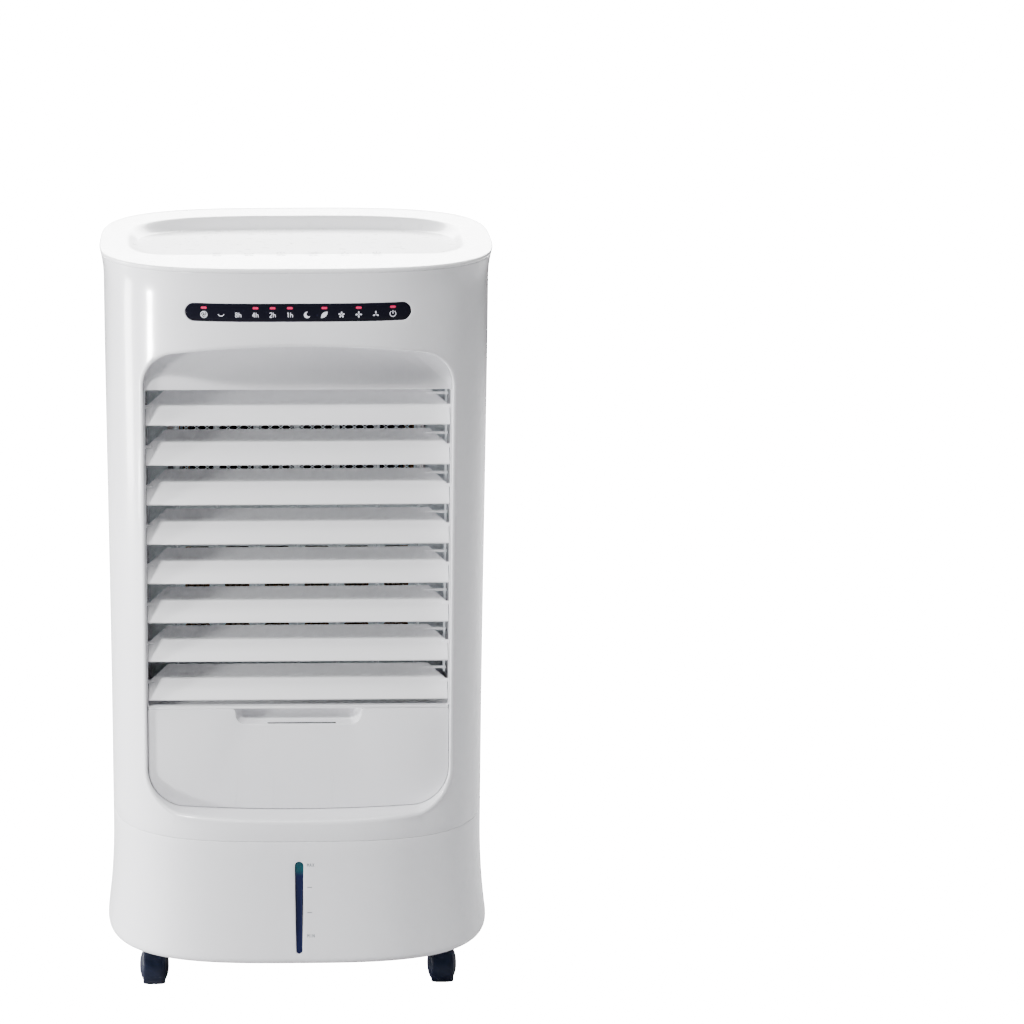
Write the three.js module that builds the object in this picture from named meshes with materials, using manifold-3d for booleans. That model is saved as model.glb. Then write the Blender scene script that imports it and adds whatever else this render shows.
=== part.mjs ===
// A free-standing evaporative air cooler: a tall plastic cabinet on four castors, with a water tank
// in its base, a blower and a wet pad inside, and an outlet of tilting louvres over swinging vanes.
// Millimetres, +Z up. The origin is on the floor under the middle of the cabinet; the front faces -Y.
import * as THREE from "three";
import { mergeVertices } from "three/addons/utils/BufferGeometryUtils.js";
import Module from "manifold-3d";

const wasm = await Module();
wasm.setup();

// ---------------------------------------------------------------- driving dimensions
const HEIGHT = 790; // floor to the rim of the top panel
const SHOULDER_HALF_WIDTH = 200.5; // the cabinet's plan just under its flared rim
const SHOULDER_HALF_DEPTH = 185.5;
const PLAN_POWER = 3.2; // exponent of the superellipse that the cabinet has in plan
const PLAN_SIDES = 40;
const RIM_FLARE = 4.5;
const RIM_FLARE_START = 757;
const WAIST_DRAW = 2.4; // how much the cabinet draws in from the rim's foot down to its waist
const WAIST_Z = 260;
const FOOT_FLARE = 5.5;
const FOOT_FLARE_START = 160;
const UNDERSIDE = 50; // underside of the base
const BASE_SEAM = 184; // seam between the base and the upper shells
const DECK_SEAM = 785; // seam between the upper shells and the top panel
const BACK_SEAM_Y = 115; // seam between the front shell and the back panel
const WALL = 2.5;
const GAP = 0.3; // clearance between touching pieces
const SNUG = 0.15; // half of it, on each side of a seam

const OUTLET_HALF_WIDTH = 157.5; // the arched recess in the front shell
const OUTLET_TOP = 709;
const OUTLET_CROWN = 9; // how much its top edge bows up in the middle
const OUTLET_TOP_RADIUS = 38;
const OUTLET_BOTTOM = 207;
const OUTLET_SAG = 3; // how much its bottom edge bows down in the middle
const OUTLET_BOTTOM_RADIUS = 43;
const RECESS_Y = -144; // the flat plane at the bottom of the recess
const DUCT_HALF_WIDTH = 157.5; // inside the duct that holds louvres and vanes
const DUCT_SILL = 320;
const DUCT_LIP = 657;
const DUCT_BACK_Y = -60;

const LOUVRES = 8;
const LOUVRE_PITCH = 41.9;
const LOUVRE_FIRST_Z = 342.7;
const LOUVRE_PIVOT_Y = -128;
const LOUVRE_HALF_LENGTH = 156;
const LOUVRE_FRONT = 21.5; // chord in front of the pivot
const LOUVRE_REAR = 20; // chord behind the pivot
const LOUVRE_THICK = 2.2;
const LOUVRE_CHAMFER = 20; // cut off both rear corners, which clears the link
const LOUVRE_REST_TILT = 50; // degrees below level at rest
const LOUVRE_CRANK = 15; // from the pivot to the link's pin
const LOUVRE_LINK_X = 153;

const VANES = 7;
const VANE_PITCH = 42;
const VANE_PIVOT_Y = -90;
const VANE_FRONT = 12;
const VANE_REAR = 22;
const VANE_THICK = 2;
const VANE_CRANK = 15;
const VANE_LINK_Z = 330;
const PIN_RADIUS = 1.5;
const PIN_HOLE_RADIUS = 1.8;
const LINK_HALF = 2.3; // half the width of a link bar
const LINK_ROUND = 2.2;
const PIVOT_RADIUS = 2;
const PIVOT_HOLE_RADIUS = 2.4;

const BLOWER_Y = 12; // the blower's axis runs along X
const BLOWER_Z = 530;
const WHEEL_RADIUS = 58;
const SCROLL_HALF_WIDTH = 112;
const MESH_LOW = 552; // the blower's mouth
const MESH_HIGH = 627;
const MESH_HALF_WIDTH = 135;

const CASTOR_X = 154;
const CASTOR_Y = 115;
const CASTOR_TRAIL = 10;
const CASTOR_WHEEL_RADIUS = 20;

// ---------------------------------------------------------------- materials
const material = (color, roughness, metalness = 0) =>
  new THREE.MeshStandardMaterial({ color, roughness, metalness });
const WHITE = material(0xe9eaee, 0.3);
const LOUVRE_WHITE = material(0xe4e6ea, 0.4);
const INNER_WHITE = material(0xd9dde0, 0.5);
const BLACK_GLOSS = material(0x0c0d14, 0.15);
const BLACK = material(0x15171c, 0.5);
const CASTOR_BLACK = material(0x14172a, 0.45);
const SMOKED = material(0x10203a, 0.1);
const PAD_BROWN = material(0x8a6f4d, 0.9);
const FILTER_GREY = material(0x55595e, 0.8);
const STEEL = material(0xa9adb2, 0.35, 0.9);
const BOARD_GREEN = material(0x1f6b3c, 0.6);
const CLEAR_TUBE = material(0xc8d2d6, 0.3);

// ---------------------------------------------------------------- solids
function solid(geometry) {
  const g = geometry.clone();
  g.deleteAttribute("normal");
  g.deleteAttribute("uv");
  const merged = mergeVertices(g, 1e-4);
  return new wasm.Manifold(
    new wasm.Mesh({
      numProp: 3,
      vertProperties: new Float32Array(merged.attributes.position.array),
      triVerts: new Uint32Array(merged.index.array),
    }),
  );
}

function geometryOf(manifold) {
  const m = manifold.getMesh();
  const g = new THREE.BufferGeometry();
  g.setAttribute("position", new THREE.BufferAttribute(m.vertProperties, 3));
  g.setIndex(new THREE.BufferAttribute(m.triVerts, 1));
  g.computeVertexNormals();
  return g;
}

function box(x0, x1, y0, y1, z0, z1) {
  const g = new THREE.BoxGeometry(x1 - x0, y1 - y0, z1 - z0);
  g.translate((x0 + x1) / 2, (y0 + y1) / 2, (z0 + z1) / 2);
  return solid(g);
}

function cylinder(axis, radius, from, to, u, v, sides = 12) {
  // axis "x": (u, v) is (y, z); axis "y": (x, z); axis "z": (x, y)
  const g = new THREE.CylinderGeometry(radius, radius, to - from, sides);
  const middle = (from + to) / 2;
  if (axis === "x") g.rotateZ(-Math.PI / 2).translate(middle, u, v);
  if (axis === "y") g.translate(u, middle, v);
  if (axis === "z") g.rotateX(Math.PI / 2).translate(u, v, middle);
  return solid(g);
}

const union = (list) => list.reduce((a, b) => a.add(b));

// A 2D outline extruded along one axis between two planes.
function prism(shape, axis, from, to, curveSegments = 4) {
  const g = new THREE.ExtrudeGeometry(shape, {
    depth: to - from,
    bevelEnabled: false,
    curveSegments,
  });
  if (axis === "y") g.rotateX(Math.PI / 2).translate(0, to, 0); // shape in (x, z)
  if (axis === "x") g.rotateY(Math.PI / 2).rotateX(Math.PI / 2).translate(from, 0, 0); // shape in (y, z)
  if (axis === "z") g.translate(0, 0, from); // shape in (x, y)
  return solid(g);
}

const polygon = (points) => new THREE.Shape(points.map(([u, v]) => new THREE.Vector2(u, v)));

function roundedRectangle(u0, u1, v0, v1, r) {
  const s = new THREE.Shape();
  s.moveTo(u0 + r, v0);
  s.lineTo(u1 - r, v0);
  s.absarc(u1 - r, v0 + r, r, -Math.PI / 2, 0);
  s.lineTo(u1, v1 - r);
  s.absarc(u1 - r, v1 - r, r, 0, Math.PI / 2);
  s.lineTo(u0 + r, v1);
  s.absarc(u0 + r, v1 - r, r, Math.PI / 2, Math.PI);
  s.lineTo(u0, v0 + r);
  s.absarc(u0 + r, v0 + r, r, Math.PI, 1.5 * Math.PI);
  return s;
}

// ---------------------------------------------------------------- the cabinet's surface
// How far the cabinet stands out at z beyond its plan at the rim's foot.
function flareAt(z) {
  if (z > RIM_FLARE_START) {
    return RIM_FLARE * ((z - RIM_FLARE_START) / (HEIGHT - RIM_FLARE_START)) ** 2;
  }
  const share = Math.min(1, (RIM_FLARE_START - z) / (RIM_FLARE_START - WAIST_Z));
  const drawn = -WAIST_DRAW * share * share * (3 - 2 * share);
  if (z > FOOT_FLARE_START) return drawn;
  const down = (FOOT_FLARE_START - z) / (FOOT_FLARE_START - UNDERSIDE);
  return drawn + (FOOT_FLARE + WAIST_DRAW) * down ** 2;
}

const signedPower = (v, p) => Math.sign(v) * Math.abs(v) ** p;

function planPoints(halfWidth, halfDepth, sides = PLAN_SIDES) {
  const points = [];
  for (let i = 0; i < sides; i++) {
    const t = (2 * Math.PI * i) / sides;
    points.push([
      halfWidth * signedPower(Math.cos(t), 2 / PLAN_POWER),
      halfDepth * signedPower(Math.sin(t), 2 / PLAN_POWER),
    ]);
  }
  return points;
}

// A solid through plan outlines at rising heights: levels are [z, inset] pairs.
function loft(levels, offsetX = SHOULDER_HALF_WIDTH, offsetY = SHOULDER_HALF_DEPTH, flared = true) {
  const positions = [];
  const index = [];
  const n = PLAN_SIDES;
  levels.forEach(([z, inset]) => {
    const grow = (flared ? flareAt(z) : 0) - inset;
    planPoints(offsetX + grow, offsetY + grow).forEach(([x, y]) => positions.push(x, y, z));
  });
  const last = levels.length - 1;
  for (let k = 0; k < last; k++) {
    for (let i = 0; i < n; i++) {
      const a = k * n + i;
      const b = k * n + ((i + 1) % n);
      index.push(a, b, b + n, a, b + n, a + n);
    }
  }
  const low = positions.length / 3;
  positions.push(0, 0, levels[0][0], 0, 0, levels[last][0]);
  for (let i = 0; i < n; i++) {
    const j = (i + 1) % n;
    index.push(low, j, i, low + 1, last * n + i, last * n + j);
  }
  const g = new THREE.BufferGeometry();
  g.setAttribute("position", new THREE.Float32BufferAttribute(positions, 3));
  g.setIndex(index);
  return solid(g);
}

// Heights between which the cabinet's sides count as straight.
const BENDS = [80, 115, FOOT_FLARE_START, WAIST_Z, 380, 500, 620, RIM_FLARE_START, 775];

// The cabinet's own form from z0 to z1, inset by so much all round.
function cabinet(inset, z0, z1) {
  const heights = [z0, ...BENDS.filter((z) => z > z0 + 1 && z < z1 - 1), z1];
  return loft(heights.map((z) => [z, inset]));
}

// How far the front and back stand out at x, at the rim's foot.
function surfaceY(x, inset = 0) {
  const a = SHOULDER_HALF_WIDTH - inset;
  const b = SHOULDER_HALF_DEPTH - inset;
  return b * (1 - Math.abs(x / a) ** PLAN_POWER) ** (1 / PLAN_POWER);
}

// ---------------------------------------------------------------- outlines on the front
// The arched recess, grown by g, or shrunk where g is below zero.
function outletShape(g = 0) {
  const w = OUTLET_HALF_WIDTH + g;
  const rt = OUTLET_TOP_RADIUS + g;
  const rb = OUTLET_BOTTOM_RADIUS + g;
  const top = OUTLET_TOP + g;
  const bottom = OUTLET_BOTTOM - g;
  const shoulder = top - OUTLET_CROWN - rt;
  const hip = bottom + OUTLET_SAG + rb;
  const turn = Math.PI * 0.43; // how far each corner turns before the bowed edge takes over
  const topX = w - rt + rt * Math.cos(turn);
  const topZ = shoulder + rt * Math.sin(turn);
  const footX = w - rb + rb * Math.cos(turn);
  const footZ = hip - rb * Math.sin(turn);
  const s = new THREE.Shape();
  s.moveTo(w, hip);
  s.lineTo(w, shoulder);
  s.absarc(w - rt, shoulder, rt, 0, turn);
  s.quadraticCurveTo(w * 0.45, top, 0, top);
  s.quadraticCurveTo(-w * 0.45, top, -topX, topZ);
  s.absarc(-w + rt, shoulder, rt, Math.PI - turn, Math.PI);
  s.lineTo(-w, hip);
  s.absarc(-w + rb, hip, rb, Math.PI, Math.PI + turn);
  s.quadraticCurveTo(-w * 0.4, bottom, 0, bottom);
  s.quadraticCurveTo(w * 0.4, bottom, footX, footZ);
  s.absarc(w - rb, hip, rb, -turn, 0);
  return s;
}

const DISPLAY_Z = 744.5;
const DISPLAY_HALF_LENGTH = 114;
const DISPLAY_RADIUS = 9.2;
const displayShape = (g) =>
  roundedRectangle(
    -DISPLAY_HALF_LENGTH - g,
    DISPLAY_HALF_LENGTH + g,
    DISPLAY_Z - DISPLAY_RADIUS - g,
    DISPLAY_Z + DISPLAY_RADIUS + g,
    DISPLAY_RADIUS + g,
  );

// The level window: a slot that tapers towards its foot.
const WINDOW_TOP_Z = 157.5;
const WINDOW_FOOT_Z = 65.5;
const WINDOW_TOP_RADIUS = 4.5;
const WINDOW_FOOT_RADIUS = 3.1;
function windowShape(g) {
  const s = new THREE.Shape();
  s.moveTo(WINDOW_TOP_RADIUS + g, WINDOW_TOP_Z);
  s.absarc(0, WINDOW_TOP_Z, WINDOW_TOP_RADIUS + g, 0, Math.PI);
  s.lineTo(-WINDOW_FOOT_RADIUS - g, WINDOW_FOOT_Z);
  s.absarc(0, WINDOW_FOOT_Z, WINDOW_FOOT_RADIUS + g, Math.PI, 2 * Math.PI);
  return s;
}

// The side grips.
const GRIP_Y0 = -22;
const GRIP_Y1 = 50;
const GRIP_Z0 = 685;
const GRIP_Z1 = 732;
const GRIP_FLOOR_X = 176;
const gripShape = (g) => roundedRectangle(GRIP_Y0 - g, GRIP_Y1 + g, GRIP_Z0 - g, GRIP_Z1 + g, 9 + g);

// ---------------------------------------------------------------- the cabinet's pieces
function upperRing() {
  return cabinet(0, BASE_SEAM + SNUG, DECK_SEAM).subtract(cabinet(WALL, BASE_SEAM - 5, DECK_SEAM + 2));
}

function frontShell() {
  const recessWall = prism(outletShape(WALL), "y", -300, RECESS_Y + WALL).intersect(
    cabinet(0.5, BASE_SEAM + 5, DECK_SEAM - 5),
  );
  return upperRing()
    .intersect(box(-300, 300, -300, BACK_SEAM_Y - SNUG, 0, 900))
    .add(recessWall)
    .subtract(prism(outletShape(), "y", -300, RECESS_Y + 10))
    .subtract(prism(displayShape(GAP), "y", -300, -100))
    .subtract(prism(gripShape(GAP), "x", -300, 300));
}

const GRILLE_HALF_WIDTH = 145;
const GRILLE_LOW = 292;
const GRILLE_HIGH = 700;
const grilleShape = (g) =>
  roundedRectangle(-GRILLE_HALF_WIDTH - g, GRILLE_HALF_WIDTH + g, GRILLE_LOW - g, GRILLE_HIGH + g, 18 + g);
const GLAND_X = 118;
const GLAND_Z = 222;

function backPanel() {
  return upperRing()
    .intersect(box(-300, 300, BACK_SEAM_Y + SNUG, 300, 0, 900))
    .subtract(prism(grilleShape(GAP), "y", 100, 300))
    .subtract(cylinder("y", 7.5, 100, 200, GLAND_X, GLAND_Z));
}

// A curved grille of level slots in two columns, which clips into the back panel.
const SLOTS = 10;
const SLOT_PITCH = 38;
const SLOT_HIGH = 22;
function rearGrille() {
  const slots = [];
  for (let i = 0; i < SLOTS; i++) {
    const z = GRILLE_LOW + 22 + i * SLOT_PITCH;
    slots.push(box(-128, -6, 100, 300, z, z + SLOT_HIGH), box(6, 128, 100, 300, z, z + SLOT_HIGH));
  }
  return prism(grilleShape(-GAP), "y", 100, 300)
    .intersect(cabinet(0.6, 250, 740).subtract(cabinet(3.4, 240, 750)))
    .subtract(union(slots));
}

function dustFilter() {
  const y = 151;
  return box(-124, 124, y, y + 2, GRILLE_LOW + 12, GRILLE_HIGH - 12);
}

const BASE_FLOOR = 4;
const STEM_HOLE_RADIUS = 4.5;
const DRAIN_X = -60;
const DRAIN_Z = 84;
const castorSpots = [
  ["front_left", -CASTOR_X, -CASTOR_Y],
  ["front_right", CASTOR_X, -CASTOR_Y],
  ["rear_left", -CASTOR_X, CASTOR_Y],
  ["rear_right", CASTOR_X, CASTOR_Y],
];

function baseShell() {
  const bends = BENDS.filter((z) => z < BASE_SEAM).map((z) => [z, 0]);
  const foot = [
    [UNDERSIDE, 6],
    [UNDERSIDE + 2, 2],
    [UNDERSIDE + 6, 0],
  ];
  const outer = loft([...foot, ...bends, [BASE_SEAM - SNUG, 0]]);
  const inner = cabinet(3, UNDERSIDE + BASE_FLOOR, BASE_SEAM + 5);
  let base = outer.subtract(inner);
  castorSpots.forEach(([, x, y]) => {
    base = base.add(cylinder("z", 11, UNDERSIDE + 1, UNDERSIDE + 18, x, y, 16));
    base = base.subtract(cylinder("z", STEM_HOLE_RADIUS, UNDERSIDE - 1, UNDERSIDE + 16, x, y, 12));
  });
  return base
    .subtract(prism(windowShape(GAP), "y", -300, -150))
    .subtract(cylinder("y", 10.5, 150, 300, DRAIN_X, DRAIN_Z, 16));
}

const TANK_INSET = 26;
const TANK_WALL = 2.5;
const TANK_FLOOR_Z = 70;
const TANK_RIM_Z = 176;

function waterTank() {
  const tub = loft([
    [TANK_FLOOR_Z, TANK_INSET + 4],
    [TANK_FLOOR_Z + 8, TANK_INSET],
    [TANK_RIM_Z, TANK_INSET],
  ]);
  const water = loft([
    [TANK_FLOOR_Z + TANK_WALL, TANK_INSET + 4 + TANK_WALL],
    [TANK_FLOOR_Z + 10, TANK_INSET + TANK_WALL],
    [TANK_RIM_Z + 5, TANK_INSET + TANK_WALL],
  ]);
  return tub
    .subtract(water)
    .subtract(cylinder("y", 6.4, 130, 200, DRAIN_X, DRAIN_Z));
}

function levelWindow() {
  const back = -(SHOULDER_HALF_DEPTH - TANK_INSET) - 6;
  return prism(windowShape(-0.1), "y", -300, back).intersect(cabinet(0.6, 55, 175));
}

function drainPlug() {
  const cap = cylinder("y", 10, 178.4, 182.6, DRAIN_X, DRAIN_Z, 16);
  const bung = cylinder("y", 6, 146, 179, DRAIN_X, DRAIN_Z, 12);
  const grip = box(DRAIN_X - 8, DRAIN_X + 8, 181, 182.9, DRAIN_Z - 1.5, DRAIN_Z + 1.5);
  return union([cap, bung, grip]);
}

// The top panel: a flat rim round a tray whose floor falls towards the back.
const TRAY_HALF_WIDTH = 178;
const TRAY_HALF_DEPTH = 137;
const TRAY_FALL = 13;
const TRAY_FRONT_Y = -105;

function trayFloor(drop) {
  // everything above the tray's sloping floor, lowered by drop
  const zAt = (y) => HEIGHT - (TRAY_FALL * (y - TRAY_FRONT_Y)) / (TRAY_HALF_DEPTH - TRAY_FRONT_Y) - drop;
  const above = [
    [-200, zAt(-200)],
    [200, zAt(200)],
    [200, HEIGHT + 40],
    [-200, HEIGHT + 40],
  ];
  return prism(polygon(above), "x", -250, 250);
}

function topPanel() {
  const rim = [
    [DECK_SEAM + GAP, 0],
    [HEIGHT - 2, 0],
    [HEIGHT - 0.6, 0.8],
    [HEIGHT, 2.4],
  ];
  const bowlLevels = [
    [770, -WALL],
    [HEIGHT - 3, -WALL],
  ];
  const pocketLevels = [
    [760, 0],
    [HEIGHT + 10, 0],
  ];
  const bowl = loft(bowlLevels, TRAY_HALF_WIDTH, TRAY_HALF_DEPTH, false);
  const pocket = loft(pocketLevels, TRAY_HALF_WIDTH, TRAY_HALF_DEPTH, false);
  return loft(rim).add(bowl.intersect(trayFloor(WALL))).subtract(pocket.intersect(trayFloor(0)));
}

function displayWindow() {
  const skin = cabinet(0.4, 720, 765).subtract(cabinet(2.9, 715, 770));
  return prism(displayShape(-0.1), "y", -300, -100).intersect(skin);
}

const displayBoard = () => box(-105, 105, -162, -160.4, DISPLAY_Z - 12, DISPLAY_Z + 12);
const touchBoard = () => box(-100, 100, -130, -104, 779.5, 781.1);

// A cup behind each side opening, for four fingers.
function sideGrip(side) {
  const cup = prism(gripShape(-GAP), "x", GRIP_FLOOR_X - WALL, 300)
    .intersect(cabinet(0.5, 600, 760))
    .subtract(prism(gripShape(-GAP - WALL), "x", GRIP_FLOOR_X, 300));
  return side > 0 ? cup : cup.mirror([1, 0, 0]);
}

// ---------------------------------------------------------------- outlet, louvres and vanes
const vaneX = (i) => (i - (VANES - 1) / 2) * VANE_PITCH;
const louvreZ = (i) => LOUVRE_FIRST_Z + i * LOUVRE_PITCH;

const COVER_TOP = 317.2;
const NOTCH_HALF_TOP = 66;
const NOTCH_HALF_FOOT = 55;
const NOTCH_DEPTH = 17;
const notchShape = (g) =>
  polygon([
    [-NOTCH_HALF_TOP - g, COVER_TOP + 20],
    [-NOTCH_HALF_TOP - g, COVER_TOP - 5],
    [-NOTCH_HALF_FOOT - g, COVER_TOP - NOTCH_DEPTH - g],
    [NOTCH_HALF_FOOT + g, COVER_TOP - NOTCH_DEPTH - g],
    [NOTCH_HALF_TOP + g, COVER_TOP - 5],
    [NOTCH_HALF_TOP + g, COVER_TOP + 20],
  ]);

function outletFrame() {
  const face = prism(outletShape(-GAP), "y", RECESS_Y, RECESS_Y + WALL).intersect(
    box(-200, 200, -300, 0, DUCT_SILL - WALL, OUTLET_TOP),
  );
  const w = DUCT_HALF_WIDTH;
  const side = w + WALL;
  const front = RECESS_Y + WALL + GAP;
  const tube = box(-side, side, front, DUCT_BACK_Y, DUCT_SILL - WALL, DUCT_LIP + WALL);
  const outerTube = tube.intersect(cabinet(WALL + GAP, BASE_SEAM, DECK_SEAM));
  const mouth = box(-w + GAP, w - GAP, RECESS_Y, RECESS_Y + 6, DUCT_SILL - WALL, DUCT_LIP + WALL);
  const bore = box(-w + 1, w - 1, -300, 0, DUCT_SILL, DUCT_LIP);
  const holes = [];
  for (let i = 0; i < LOUVRES; i++) {
    holes.push(cylinder("x", PIVOT_HOLE_RADIUS, -w - 5, w + 5, LOUVRE_PIVOT_Y, louvreZ(i), 8));
  }
  for (let i = 0; i < VANES; i++) {
    holes.push(cylinder("z", PIVOT_HOLE_RADIUS, DUCT_SILL - 5, DUCT_LIP + 5, vaneX(i), VANE_PIVOT_Y, 8));
  }
  return union([face, outerTube, mouth]).subtract(bore).subtract(union(holes));
}

// One louvre, made level with its pivot on the X axis, its front edge towards -Y.
function louvre() {
  const h = LOUVRE_HALF_LENGTH;
  const rear = LOUVRE_REAR;
  const cut = LOUVRE_CHAMFER;
  const blade = prism(
    polygon([
      [-h, -LOUVRE_FRONT],
      [h, -LOUVRE_FRONT],
      [h, rear - cut],
      [h - cut, rear],
      [-h + cut, rear],
      [-h, rear - cut],
    ]),
    "z",
    -LOUVRE_THICK / 2,
    LOUVRE_THICK / 2,
  );
  const end = DUCT_HALF_WIDTH + WALL - 0.4;
  return union([
    blade,
    cylinder("x", PIVOT_RADIUS, h - 6, end, 0, 0, 6),
    cylinder("x", PIVOT_RADIUS, -end, -h + 6, 0, 0, 6),
    cylinder("x", PIN_RADIUS, h - cut - 4, LOUVRE_LINK_X + 2, LOUVRE_CRANK, 0, 6),
  ]);
}

// Where a point of the louvre at (y, 0) goes when it tilts by the rest angle.
const restTilt = THREE.MathUtils.degToRad(LOUVRE_REST_TILT);
const crankY = LOUVRE_PIVOT_Y + LOUVRE_CRANK * Math.cos(restTilt);
const crankRise = LOUVRE_CRANK * Math.sin(restTilt);

function louvreLink() {
  const low = louvreZ(0) + crankRise;
  const high = louvreZ(LOUVRES - 1) + crankRise;
  const x = LOUVRE_LINK_X;
  const outline = roundedRectangle(crankY - LINK_HALF, crankY + LINK_HALF, low - 5, high + 5, LINK_ROUND);
  const bar = prism(outline, "x", x - 1, x + 1, 3);
  const holes = [];
  for (let i = 0; i < LOUVRES; i++) {
    holes.push(cylinder("x", PIN_HOLE_RADIUS, x - 3, x + 3, crankY, louvreZ(i) + crankRise, 8));
  }
  return bar.subtract(union(holes));
}

// One upright vane, its pivot on the Z axis; its foot has a step that clears the link.
function vane() {
  const low = DUCT_SILL + 2;
  const high = DUCT_LIP - 2;
  const step = VANE_LINK_Z + 3;
  const stepBack = VANE_CRANK - 7;
  const blade = prism(
    polygon([
      [-VANE_FRONT, low],
      [stepBack, low],
      [stepBack, step],
      [VANE_REAR, step],
      [VANE_REAR, high],
      [-VANE_FRONT, high],
    ]),
    "x",
    -VANE_THICK / 2,
    VANE_THICK / 2,
  );
  return union([
    blade,
    cylinder("z", PIVOT_RADIUS, low - 4, low + 4, 0, 0, 6),
    cylinder("z", PIVOT_RADIUS, high - 4, high + 4, 0, 0, 6),
    cylinder("z", PIN_RADIUS, VANE_LINK_Z - 2, step + 6, 0, VANE_CRANK, 6),
  ]);
}

function vaneLink() {
  const y = VANE_PIVOT_Y + VANE_CRANK;
  const end = vaneX(VANES - 1) + 5;
  const z = VANE_LINK_Z;
  const outline = roundedRectangle(-end, end, y - LINK_HALF, y + LINK_HALF, LINK_ROUND);
  const bar = prism(outline, "z", z - 1, z + 1, 3);
  const holes = [];
  for (let i = 0; i < VANES; i++) {
    holes.push(cylinder("z", PIN_HOLE_RADIUS, z - 3, z + 3, vaneX(i), y, 8));
  }
  return bar.subtract(union(holes));
}

// The motor that swings the vanes stands under the middle one.
function swingMotor() {
  const top = DUCT_SILL - WALL - GAP;
  const can = cylinder("z", 13, top - 16, top, 0, VANE_PIVOT_Y, 16);
  const ears = box(-20, 20, VANE_PIVOT_Y - 3.5, VANE_PIVOT_Y + 3.5, top - 2, top);
  return can.add(ears).subtract(cylinder("z", 2.6, top - 4, top + 1, 0, VANE_PIVOT_Y, 8));
}

// The white baffle behind the vanes: a mouth for the blower above, a ladder of slots below.
const GUARD_THICK = 2.5;
const RUNGS = 4;
const RUNG_FIRST_Z = 372;
const RUNG_PITCH = 30;
const RUNG_HIGH = 16;
const RUNG_HALF_WIDTH = 13;
function airGuard() {
  const y = DUCT_BACK_Y + GAP;
  const w = DUCT_HALF_WIDTH - 1;
  const cuts = [box(-MESH_HALF_WIDTH, MESH_HALF_WIDTH, y - 5, y + 9, MESH_LOW, MESH_HIGH)];
  for (let i = 0; i < VANES - 1; i++) {
    const x = vaneX(i) + VANE_PITCH / 2;
    for (let k = 0; k < RUNGS; k++) {
      const z = RUNG_FIRST_Z + k * RUNG_PITCH;
      cuts.push(box(x - RUNG_HALF_WIDTH, x + RUNG_HALF_WIDTH, y - 5, y + 9, z, z + RUNG_HIGH));
    }
  }
  return box(-w, w, y, y + GUARD_THICK, DUCT_SILL, DUCT_LIP).subtract(union(cuts));
}

// The diamond mesh over the blower's mouth.
const MESH_EDGE = 4;
const DIAMOND_WIDE = 45;
const DIAMOND_HIGH = 25;
const WIRE_ACROSS = 2.2;
const WIRE_UP = 1.5;
function diamond(x, z, y) {
  const halfWide = DIAMOND_WIDE / 2 - WIRE_ACROSS;
  const halfHigh = DIAMOND_HIGH / 2 - WIRE_UP;
  const corners = [
    [x - halfWide, z],
    [x, z - halfHigh],
    [x + halfWide, z],
    [x, z + halfHigh],
  ];
  return prism(polygon(corners), "y", y - 3, y + 3);
}

function guardMesh() {
  const y = DUCT_BACK_Y + GAP + GUARD_THICK + GAP;
  const w = MESH_HALF_WIDTH + MESH_EDGE;
  const cuts = [];
  for (let row = 0; row < 5; row++) {
    const odd = row % 2 === 1;
    const z = MESH_LOW + ((row + 1) * DIAMOND_HIGH) / 2;
    for (let col = 0; col < (odd ? 5 : 6); col++) {
      const x = -MESH_HALF_WIDTH + (col + (odd ? 1 : 0.5)) * DIAMOND_WIDE;
      cuts.push(diamond(x, z, y));
    }
  }
  return box(-w, w, y, y + 1, MESH_LOW - MESH_EDGE, MESH_HIGH + MESH_EDGE).subtract(union(cuts));
}

// ---------------------------------------------------------------- the filler drawer
function fillerCover() {
  return prism(outletShape(-2 * GAP), "y", RECESS_Y, RECESS_Y + WALL)
    .intersect(box(-200, 200, -300, 0, 200, COVER_TOP))
    .subtract(prism(notchShape(0), "y", -300, 0));
}

const TRAY_BOX = { x: 128, y0: -138, y1: -66, z0: 228, z1: 296 };

function fillerTray() {
  const { x, y0, y1, z0, z1 } = TRAY_BOX;
  const wall = 2;
  const back = RECESS_Y + WALL + GAP;
  const struts = union([-100, 100].map((sx) => box(sx - 6, sx + 6, back, y0 + 1, z0 + 12, z1 - 16)));
  return box(-x, x, y0, y1, z0, z1)
    .add(struts)
    .subtract(box(-x + wall, x - wall, y0 + wall, y1 - wall, z0 + wall, z1 + 5))
    .subtract(box(-60, 60, y1 - 30, y1 - 15, z0 - 5, z0 + 5));
}

// ---------------------------------------------------------------- blower
// The scroll opens out evenly from its tongue, round under the wheel and up to its mouth.
const TONGUE_ANGLE = Math.PI * 0.892;
const TONGUE_RADIUS = 65.8;
const CREST_ANGLE = Math.PI * 2.5;
const CREST_RADIUS = MESH_HIGH - BLOWER_Z;

function scrollShape(shrink) {
  const steps = 20;
  const points = [];
  for (let i = 0; i <= steps; i++) {
    const share = i / steps;
    const angle = TONGUE_ANGLE + share * (CREST_ANGLE - TONGUE_ANGLE);
    const r = TONGUE_RADIUS + share * (CREST_RADIUS - TONGUE_RADIUS) - shrink;
    points.push([BLOWER_Y + r * Math.cos(angle), BLOWER_Z + r * Math.sin(angle)]);
  }
  const mouthY = -55 - (shrink ? 10 : 0);
  points.push([mouthY, MESH_HIGH - shrink], [mouthY, MESH_LOW + shrink]);
  return polygon(points);
}

function blowerHousing() {
  const w = SCROLL_HALF_WIDTH;
  return prism(scrollShape(0), "x", -w, w)
    .subtract(prism(scrollShape(2), "x", -w + 2, w - 2))
    .subtract(cylinder("x", 44, -w - 5, w + 5, BLOWER_Y, BLOWER_Z, 20));
}

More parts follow.
